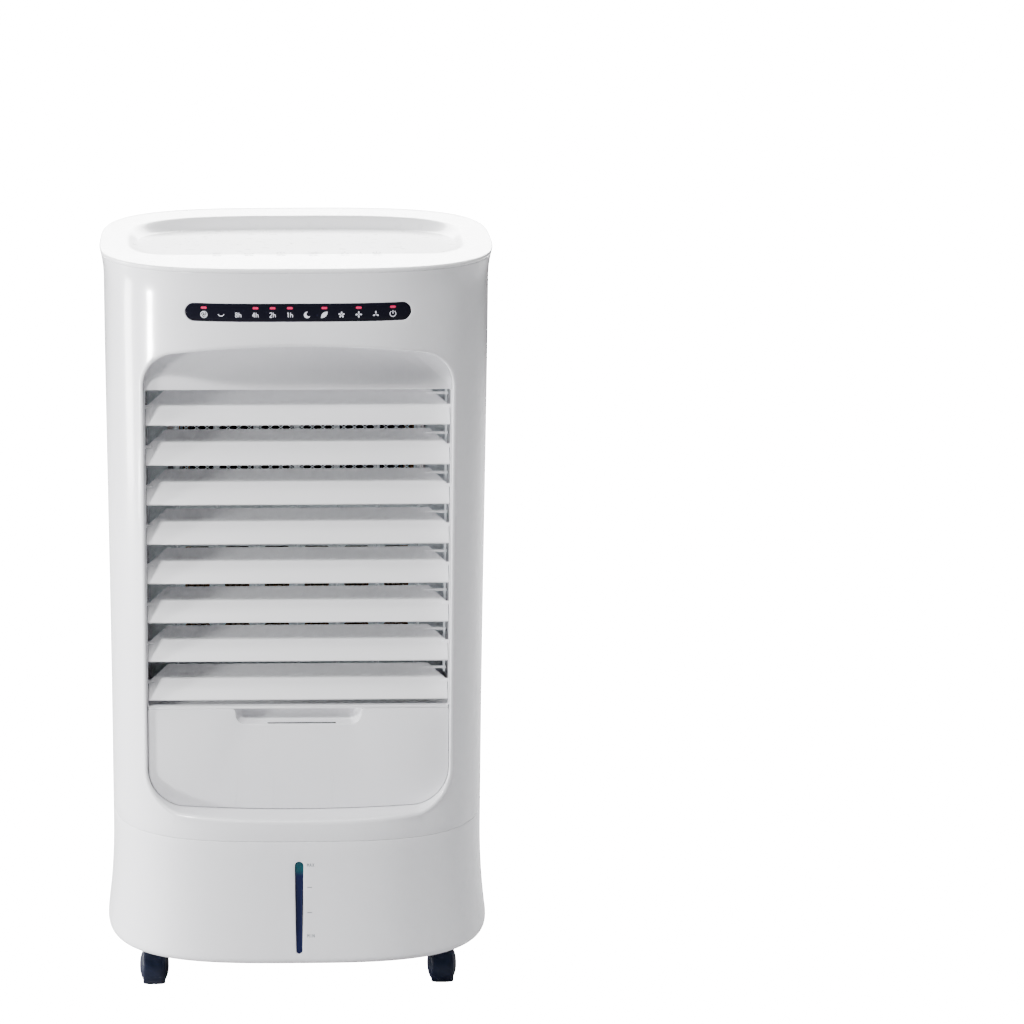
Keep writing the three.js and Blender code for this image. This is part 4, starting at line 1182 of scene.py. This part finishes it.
def dust_filter():
    b = Builder()
    y = 151.0
    x, z0, z1 = 124.0, GRILLE["z0"] + 12, GRILLE["z1"] - 12
    frame_holes = []
    for i in range(3):
        for k in range(4):
            u0, u1 = -x + 6 + i * 80, -x + 6 + i * 80 + 76
            v0, v1 = z0 + 6 + k * 94, z0 + 6 + k * 94 + 90
            frame_holes.append(rounded_rectangle(u0, u1, v0, v1, 4, 4))
    slab(b, facing_front, rounded_rectangle(-x, x, z0, z1, 5, 4), y, y + 2, 0.4, frame_holes, 2)
    fit(b.make("filter_frame", INNER_BLACK), "rear_filter", "filter_mesh", "dust_filter")
    m = Builder()
    slab(m, facing_front, rounded_rectangle(-x + 2, x - 2, z0 + 2, z1 - 2, 4, 4), y + 0.8, y + 1.2, 0.1)
    fit(m.make("filter_cloth", FILTER), "rear_filter", "filter_mesh")


def cooling_pad():
    b = Builder()
    flutes = 46
    front, back = [], []
    for i in range(flutes * 2 + 1):
        x = -132 + 264 * i / (flutes * 2)
        wave = 2.4 if i % 2 else 0.1
        front.append((x, 122 + wave))
        back.append((x, 145.6 + wave))
    outline = front + list(reversed(back))
    layers = 44
    last = None
    for k in range(layers + 1):
        z = 300 + 396 * k / layers
        shift = 0.5 if k % 2 else 0.0
        ring = b.add([(x, y + shift, z) for x, y in outline])
        if last is not None:
            b.strip(last, ring)
        else:
            b.face(ring)
        last = ring
    b.face(last)
    fit(b.make("pad_flutes", PAPER, sharp=20), "cabinet", "pad_paper", "cooling_pad")


def turned(name, material, place, profile, body, slot, node, extra=None, count=40):
    b = Builder()
    lathe(b, place, profile, count)
    if extra:
        extra(b)
    fit(b.make(name, material), body, slot, node)


def drain_plug():
    x, z = DRAIN

    def place(u, v, w):
        return Vector((x + u, w, z + v))

    def bar(b):
        grip = rounded_rectangle(x - 8, x + 8, z - 1.6, z + 1.6, 1.4, 1.0)
        slab(b, facing_front, grip, 180.6, 182.8, 0.5)

    profile = [(1e-7, 146), (5.4, 146), (6.0, 147), (6.0, 178.6), (9.0, 178.6), (9.9, 179.2), (9.9, 180.2),
               (9.0, 181.2), (6.8, 181.6), (6.2, 181.0), (1e-7, 180.8)]
    turned("drain_plug_turned", INNER_BLACK, place, profile, "drain_plug", "inner_black", "drain_plug", bar)


def cord_gland():
    x, z = GLAND
    y = surface_y(x - 10) + flare(z) + 0.3

    def place(u, v, w):
        return Vector((x + u, y + w, z + v))

    profile = [(3.9, -16), (6.6, -16), (6.9, -15.4), (6.9, 0.2), (9.2, 0.2), (9.9, 0.9), (9.9, 3.4),
               (8.6, 4.8),
               (5.0, 4.95), (4.2, 4.4), (3.9, 3.6), (3.9, -16)]
    turned("cord_gland_turned", INNER_BLACK, place, profile, "cabinet", "inner_black", "cord_gland")


# ---------------------------------------------------------------- blower
def blower_wheel():
    b = Builder()
    axis = Vector((0, BLOWER[0], BLOWER[1]))

    def place(u, v, w):
        return axis + Vector((w, u, v))

    for x0, x1 in ((-98, -94), (94, 98)):
        lathe(b, place,
              [(46, x0), (57.6, x0), (58, x0 + 0.4), (58, x1 - 0.4), (57.6, x1), (46, x1), (46, x0)], 64)
    lathe(b, place, [(1e-7, -2), (56.5, -2), (57, -1.5), (57, 1.5), (56.5, 2), (1e-7, 2)], 64)
    lathe(b, place, [(1e-7, -16), (11.5, -16), (12, -15.5), (12, 15.5), (11.5, 16), (1e-7, 16)], 32)
    lathe(b, place, [(1e-7, -118), (4, -118), (4, 30), (1e-7, 30)], 16)
    blades = 34
    for i in range(blades):
        turn = 2 * math.pi * i / blades
        rings = []
        for x in (-96, 96):
            ring = []
            for side in (0.45, -0.45):
                sweep = [0, 0.25, 0.5, 0.75, 1.0] if side > 0 else [1.0, 0.75, 0.5, 0.25, 0]
                for t in sweep:
                    r = 46.5 + 11 * t + side * 0.3
                    a = turn + 0.13 * t * t + side / r
                    ring.append(axis + Vector((x, r * math.cos(a), r * math.sin(a))))
            rings.append(b.add(ring))
        b.strip(rings[0], rings[1])
    fit(b.make("blower_wheel_bladed", INNER_BLACK), "blower_wheel", "inner_black", "blower_wheel")


# ---------------------------------------------------------------- castors
def castor(spot, cx, cy):
    base = Vector((cx, cy, 0))
    axle_y, axle_z = CASTOR_TRAIL, WHEEL_RADIUS

    def along(u, v, w):
        return base + Vector((w, axle_y + u, axle_z + v))

    def upright(u, v, w):
        return base + Vector((u, v, w))

    b = Builder()
    r = WHEEL_RADIUS
    for side in (1, -1):
        profile = [(1e-7, 7.3), (r - 2.0, 7.3), (r - 0.6, 7.5), (r, 8.2), (r, 9.2)]
        for k in range(1, 12):
            radius = r * (1 - k / 12)
            profile.append((radius, 15.75 - 6.0 * (radius / r) ** 2.4))
        profile.append((1e-7, 15.75))
        lathe(b, along, [(p, side * w) for p, w in profile], 48)
    lathe(b, along, [(1e-7, -8), (2.5, -8), (2.5, 8), (1e-7, 8)], 16)
    wheels = b.make(f"castor_{spot}_wheels_turned", CASTOR_TREAD)
    fit(wheels, f"castor_{spot}_wheels", "castor_tread", f"castor_{spot}_wheels")

    f = Builder()
    web = []
    for k in range(25):
        a = math.radians(-35 + 250 * k / 24)
        web.append((22.0 * math.cos(a), 22.0 * math.sin(a)))
    web = [(u + axle_y, v + axle_z) for u, v in web]
    slab(f, lambda u, v, w: base + Vector((w, u, v)), resample(web, 2.0), -6.6, 6.6, 0.8)
    steps, across = 26, 14
    start, end = math.radians(22), math.radians(222)
    outer, inner = [], []
    for k in range(steps + 1):
        a = start + (end - start) * k / steps
        row_out, row_in = [], []
        for i in range(across + 1):
            t = -1 + 2 * i / across
            x = 12.0 * math.sin(t * math.pi / 2) if abs(t) < 1 else 12.0 * t
            bow = 2.6 * abs(t) ** 3
            row_out.append(base + Vector((x, axle_y + (24.0 - bow) * math.cos(a),
                                          axle_z + (24.0 - bow) * math.sin(a))))
            row_in.append(base + Vector((x, axle_y + (22.0 - bow * 0.35) * math.cos(a),
                                         axle_z + (22.0 - bow * 0.35) * math.sin(a))))
        outer.append(f.add(row_out))
        inner.append(f.add(row_in))
    for k in range(steps):
        f.strip(outer[k], outer[k + 1], closed=False)
        f.strip(inner[k + 1], inner[k], closed=False)
        f.faces.append((outer[k][0], outer[k + 1][0], inner[k + 1][0], inner[k][0]))
        f.faces.append((outer[k + 1][-1], outer[k][-1], inner[k][-1], inner[k + 1][-1]))
    for k in (0, steps):
        f.strip(outer[k], inner[k], closed=False)
    lathe(f, upright,
          [(1e-7, 40), (8.0, 40), (8.6, 40.6), (8.6, 43), (9.0, 43.6), (9.0, 48.9), (8.4, 49.6), (4.0, 49.6),
                       (4.0, 64), (3.4, 65), (1e-7, 65)], 32)
    fork = f.make(f"castor_{spot}_fork_shaped", CASTOR_BLACK)
    fit(fork, f"castor_{spot}", "castor_black", f"castor_{spot}_fork")


# ---------------------------------------------------------------- printed marks
def ink(builder, outline, place, holes=()):
    flat, faces, _ = triangulate(outline, list(holes), [])
    ids = builder.add([place(u, v) for u, v in flat])
    builder.faces += [tuple(ids[i] for i in f) for f in faces]


def stroke(points, width):
    """A line of that width through the points, as one closed outline."""
    left, right = [], []
    for i, p in enumerate(points):
        a = Vector(points[max(i - 1, 0)])
        b = Vector(points[min(i + 1, len(points) - 1)])
        d = (b - a).normalized()
        n = Vector((-d.y, d.x)) * width / 2
        left.append((p[0] + n.x, p[1] + n.y))
        right.append((p[0] - n.x, p[1] - n.y))
    return left + right[::-1]


# Digits and the letter h on a grid 1 wide and 2 high.
STROKES = {
    "1": [[(0.2, 1.6), (0.55, 2.0), (0.55, 0.0)]],
    "2": [[(0.0, 1.6), (0.15, 1.9), (0.5, 2.0), (0.85, 1.9), (1.0, 1.55), (0.85, 1.15), (0.0, 0.0),
           (1.0, 0.0)]],
    "4": [[(0.75, 0.0), (0.75, 2.0), (0.0, 0.6), (1.0, 0.6)]],
    "8": [[(0.5, 1.05), (0.1, 1.3), (0.1, 1.75), (0.5, 2.0), (0.9, 1.75), (0.9, 1.3), (0.5, 1.05),
           (0.05, 0.75),
           (0.05, 0.25), (0.5, 0.0), (0.95, 0.25), (0.95, 0.75), (0.5, 1.05)]],
    "h": [[(0.0, 2.0), (0.0, 0.0)], [(0.0, 0.9), (0.35, 1.2), (0.75, 1.15), (0.9, 0.8), (0.9, 0.0)]],
    "M": [[(0.0, 0.0), (0.0, 2.0), (0.5, 0.8), (1.0, 2.0), (1.0, 0.0)]],
    "A": [[(0.0, 0.0), (0.5, 2.0), (1.0, 0.0)], [(0.2, 0.7), (0.8, 0.7)]],
    "X": [[(0.0, 0.0), (1.0, 2.0)], [(0.0, 2.0), (1.0, 0.0)]],
    "I": [[(0.5, 0.0), (0.5, 2.0)]],
    "N": [[(0.0, 0.0), (0.0, 2.0), (1.0, 0.0), (1.0, 2.0)]],
}


def lettering(builder, text, x, z, height, width, place):
    """Writes text with its lower left corner at (x, z)."""
    unit = height / 2
    for k, letter in enumerate(text):
        for line in STROKES[letter]:
            points = [(x + k * unit * 1.5 + u * unit, z + v * unit) for u, v in line]
            for p, q in zip(points, points[1:]):
                ink(builder, stroke([p, q], width), place)


def blade_icon(x, z, r, count):
    """A fan rosette with that many drop-shaped blades."""
    shapes = []
    for i in range(count):
        a = 2 * math.pi * i / count + math.pi / 2
        reach = []
        for t in range(13):
            b = 2 * math.pi * t / 12
            along, side = r * (0.56 + 0.42 * math.cos(b)), r * 0.24 * math.sin(b) * (1 + 0.4 * math.cos(b))
            reach.append((x + along * math.cos(a) - side * math.sin(a),
                          z + along * math.sin(a) + side * math.cos(a)))
        shapes.append(reach[:-1])
    return shapes


def ring_icon(x, z, r, width, a0, a1):
    return stroke(arc(x, z, r, a0, a1, 24), width)


def display_marks():
    lit, lamps = Builder(), Builder()

    def place(x, z):
        return on_surface(PLAN.s_front(x), z, 0.26)

    z = DISPLAY_Z - 2.2
    r = ICON_HEIGHT / 2
    xs = [ICON_FIRST + i * ICON_PITCH for i in range(12)]
    for a in range(3):
        start = 2 * math.pi * a / 3
        ink(lit, stroke([(xs[0] + r * (0.25 + 0.75 * t / 8) * math.cos(start + 2.4 * t / 8),
                          z + r * (0.25 + 0.75 * t / 8) * math.sin(start + 2.4 * t / 8)) for t in range(9)], 0.9), place)
    ink(lit, ring_icon(xs[0], z, r, 0.6, 0.3, 2 * math.pi), place)
    ink(lit, ring_icon(xs[1], z + r * 0.55, r * 0.95, 0.8, math.pi * 1.12, math.pi * 1.88), place)
    for x, text in zip(xs[2:6], ("8h", "4h", "2h", "1h")):
        lettering(lit, text, x - 3.0, z - 2.3, 4.8, 0.75, place)
    moon = arc(xs[6], z, r, math.radians(60), math.radians(330), 20)
    moon += arc(xs[6] + r * 0.5, z + r * 0.3, r * 0.72, math.radians(300), math.radians(110), 16)
    ink(lit, moon, place)
    leaf = quadratic((xs[7] - r, z - r), (xs[7] - r, z + r), (xs[7] + r, z + r), 10)
    leaf = [(xs[7] - r, z - r)] + leaf + [(xs[7] + r, z + r)]
    leaf += quadratic((xs[7] + r, z + r), (xs[7] + r * 0.9, z - r * 0.9), (xs[7] - r, z - r), 10)
    ink(lit, leaf, place)
    for x, blades in zip(xs[8:11], (5, 4, 3)):
        for shape in blade_icon(x, z, r, blades):
            ink(lit, shape, place)
    ink(lit, ring_icon(xs[11], z, r * 0.9, 0.8, math.radians(125), math.radians(415)), place)
    ink(lit, stroke([(xs[11], z), (xs[11], z + r)], 0.8), place)
    for i in (0, 3, 4, 5, 7, 9, 11):
        x = xs[i]
        lamp = rounded_rectangle(x - 3.0, x + 3.0, DISPLAY_Z + 3.6, DISPLAY_Z + 6.0, 1.0, 1.0)
        ink(lamps, lamp, place)
    # The icons' glow is painted light on printed marks; only the red lamps are real lights.
    fit(lit.make("display_icons", ICON_PAINTED_GLOW), "cabinet", "display_black")
    fit(lamps.make("display_lamps", LED_RED), "cabinet", "display_black")


def touch_marks():
    b = Builder()

    def place(x, y):
        y = TOUCH_Y + (y - TOUCH_Y) * TOUCH_STRETCH
        return Vector((x, y, min(top_height(x, y) + 0.12, HEIGHT)))

    for i in range(6):
        x = (i - 2.5) * TOUCH_PITCH
        y = TOUCH_Y
        if i == 0:
            ink(b, stroke([(x - 5, y + 1.5), (x + 5, y + 1.5)], 1.2), place)
            ink(b, stroke([(x - 3.5, y - 1.5), (x + 3.5, y - 1.5)], 1.2), place)
        if i == 1:
            ink(b, ring_icon(x, y + 2, 5, 1.2, math.pi * 1.1, math.pi * 1.9), place)
        if i == 2:
            ink(b, ring_icon(x, y, 4.2, 1.1, 0.2, math.pi * 1.8), place)
            ink(b, stroke([(x, y), (x, y + 3)], 1.1), place)
        if i == 3:
            for k in (-1, 0, 1):
                ink(b, stroke([(x - 5 + 3 * abs(k), y + k * 2.6), (x + 5, y + k * 2.6)], 1.0), place)
        if i == 4:
            for shape in blade_icon(x, y, 5, 3):
                ink(b, shape, place)
        if i == 5:
            ink(b, ring_icon(x, y, 3.8, 1.2, math.radians(125), math.radians(415)), place)
            ink(b, stroke([(x, y), (x, y + 4.6)], 1.2), place)
        ink(b, stroke([(x - 4.5, TOUCH_LABEL_Y), (x - 0.6, TOUCH_LABEL_Y)], 1.3), place)
        ink(b, stroke([(x + 0.8, TOUCH_LABEL_Y), (x + 4.5, TOUCH_LABEL_Y)], 1.3), place)
    fit(b.make("touch_marks", PRINT_GREY), "cabinet", "cabinet_white")


def level_marks():
    b = Builder()

    def place(x, z):
        return on_surface(PLAN.s_front(x), z, -0.04)

    for z in (134.0, 106.6):
        ink(b, stroke([(8.5, z), (13.5, z)], 0.9), place)
    lettering(b, "MAX", 8.5, 156.6, 3.6, 0.6, place)
    lettering(b, "MIN", 8.5, 79.8, 3.6, 0.6, place)
    fit(b.make("level_marks", PRINT_GREY), "cabinet", "cabinet_white")


# ---------------------------------------------------------------- nodes whose own shape is right
def finish_node(node, material, bevel=0.4):
    """Gives a CAD node its material and takes the sharpness off its edges."""
    piece = NODES[node]
    piece.data.materials.clear()
    piece.data.materials.append(material)
    weld = piece.modifiers.new("weld", "WELD")
    weld.merge_threshold = 0.00001
    edge = piece.modifiers.new("edges", "BEVEL")
    edge.width = bevel * MM
    edge.segments = 2
    edge.limit_method = "ANGLE"
    edge.angle_limit = math.radians(32)
    edge.use_clamp_overlap = True


KEPT = {
    "display_board": (BOARD, 0.2), "touch_board": (BOARD, 0.2), "swing_motor": (STEEL, 0.3),
    "louvre_link": (INNER_WHITE, 0.3), "vane_link": (INNER_WHITE, 0.3), "filler_tray": (INNER_WHITE, 0.5),
    "blower_housing": (INNER_BLACK, 0.5), "blower_motor": (STEEL, 0.6), "water_tank": (INNER_WHITE, 0.6),
    "water_pump": (INNER_BLACK, 0.6), "riser_hose": (HOSE, 0.1), "water_distributor": (INNER_WHITE, 0.4),
}


front_shell()
back_panel()
base_shell()
top_panel()
display_lens()
level_lens()
grip_cup(1)
grip_cup(-1)
outlet_frame()
for number in range(LOUVRES):
    louvre(number)
for number in range(VANES):
    vane(number)
air_guard()
diamond_mesh()
filler_cover()
pull_slot_painted_shade()
rear_grille()
dust_filter()
cooling_pad()
drain_plug()
cord_gland()
blower_wheel()
for spot, x, y in (("front_left", -1, -1), ("front_right", 1, -1), ("rear_left", -1, 1),
                   ("rear_right", 1, 1)):
    castor(spot, x * CASTOR_X, y * CASTOR_Y)
display_marks()
touch_marks()
level_marks()
for node, (material, bevel) in KEPT.items():
    finish_node(node, material, bevel)


# ---------------------------------------------------------------- camera, light and floor


def camera():
    yaw, rise = math.radians(-0.89), math.radians(14.64)
    target = Vector((0, 0, 0.440))
    back = Vector((math.sin(yaw) * math.cos(rise), -math.cos(yaw) * math.cos(rise), math.sin(rise)))
    data = bpy.data.cameras.new("camera")
    data.sensor_width = 36.0
    data.lens = 133.7
    view = bpy.data.objects.new("camera", data)
    bpy.context.scene.collection.objects.link(view)
    aim = (-back).to_track_quat("-Z", "Y").to_matrix()
    data.shift_x, data.shift_y = 0.2110, 0.0466
    turn = Matrix.Rotation(math.radians(-0.10), 3, "Z")
    view.matrix_world = Matrix.Translation(target + back * 4.074) @ (aim @ turn).to_4x4()
    bpy.context.scene.camera = view


def softbox(name, place, aim, width, height, power, color=(1, 1, 1)):
    data = bpy.data.lights.new(name, "AREA")
    data.shape = "RECTANGLE"
    data.size, data.size_y = width, height
    data.energy = power
    data.color = color
    lamp = bpy.data.objects.new(name, data)
    bpy.context.scene.collection.objects.link(lamp)
    place, aim = Vector(place), Vector(aim)
    lamp.location = place
    lamp.rotation_euler = (aim - place).to_track_quat("-Z", "Y").to_euler()
    lamp.visible_camera = False


def surroundings():
    world = bpy.data.worlds.new("studio")
    bpy.context.scene.world = world
    world.use_nodes = True
    tree = world.node_tree
    tree.nodes.clear()
    seen, lit = tree.nodes.new("ShaderNodeBackground"), tree.nodes.new("ShaderNodeBackground")
    seen.inputs["Color"].default_value = (1, 1, 1, 1)
    seen.inputs["Strength"].default_value = BACKDROP
    lit.inputs["Color"].default_value = (0.93, 0.96, 1, 1)
    lit.inputs["Strength"].default_value = AMBIENT
    path, mix = tree.nodes.new("ShaderNodeLightPath"), tree.nodes.new("ShaderNodeMixShader")
    out = tree.nodes.new("ShaderNodeOutputWorld")
    tree.links.new(path.outputs["Is Camera Ray"], mix.inputs["Fac"])
    tree.links.new(lit.outputs[0], mix.inputs[1])
    tree.links.new(seen.outputs[0], mix.inputs[2])
    tree.links.new(mix.outputs[0], out.inputs["Surface"])


def floor():
    mesh = bpy.data.meshes.new("floor")
    r = 4.0
    mesh.from_pydata([(-r, -r, 0), (r, -r, 0), (r, r, 0), (-r, r, 0)], [], [(0, 1, 2, 3)])
    ground = bpy.data.objects.new("floor", mesh)
    bpy.context.scene.collection.objects.link(ground)
    material, tree, node = shader("floor_white", 0.9)
    node.inputs["Base Color"].default_value = (0.45, 0.45, 0.46, 1)
    node.inputs["Emission Color"].default_value = (1, 1, 1, 1)
    path = tree.nodes.new("ShaderNodeLightPath")
    tree.links.new(spread(tree, path.outputs["Is Camera Ray"], 0.0, 1.0, 0.0, BACKDROP),
                   node.inputs["Emission Strength"])
    mesh.materials.append(material)


def lamp_round(name, around, rise, width, height, power):
    """A softbox at the lamps' usual distance, at an angle round from the front and an angle up."""
    around, rise = math.radians(around), math.radians(rise)
    way = Vector((math.sin(around) * math.cos(rise), -math.cos(around) * math.cos(rise), math.sin(rise)))
    softbox(name, LAMP_AIM + way * LAMP_DISTANCE, LAMP_AIM, width, height, power)


LAMP_AIM = Vector((0, -0.1, 0.45))
LAMP_DISTANCE = 3.2

camera()
surroundings()
floor()
lamp_round("key", -40, 46, 0.28, 0.28, 108)
lamp_round("key_soft", -15, 50, 0.9, 0.6, 18)
lamp_round("left_box", -80, 20, 1.2, 1.6, 36)
lamp_round("overhead", 0, 75, 1.6, 1.0, 40)
lamp_round("right_box", 85, 15, 1.2, 1.6, 30)
softbox("left_strip", (-2.2, 0.45, 0.7), (-0.15, 0, 0.45), 0.5, 1.4, 84)
softbox("spot", (-2.0, -0.81, 0.30), (-0.15, -0.15, 0.70), 0.22, 0.14, 50)
softbox("behind", (0.0, 2.6, 1.7), (0, 0, 0.79), 3.4, 1.2, 340)
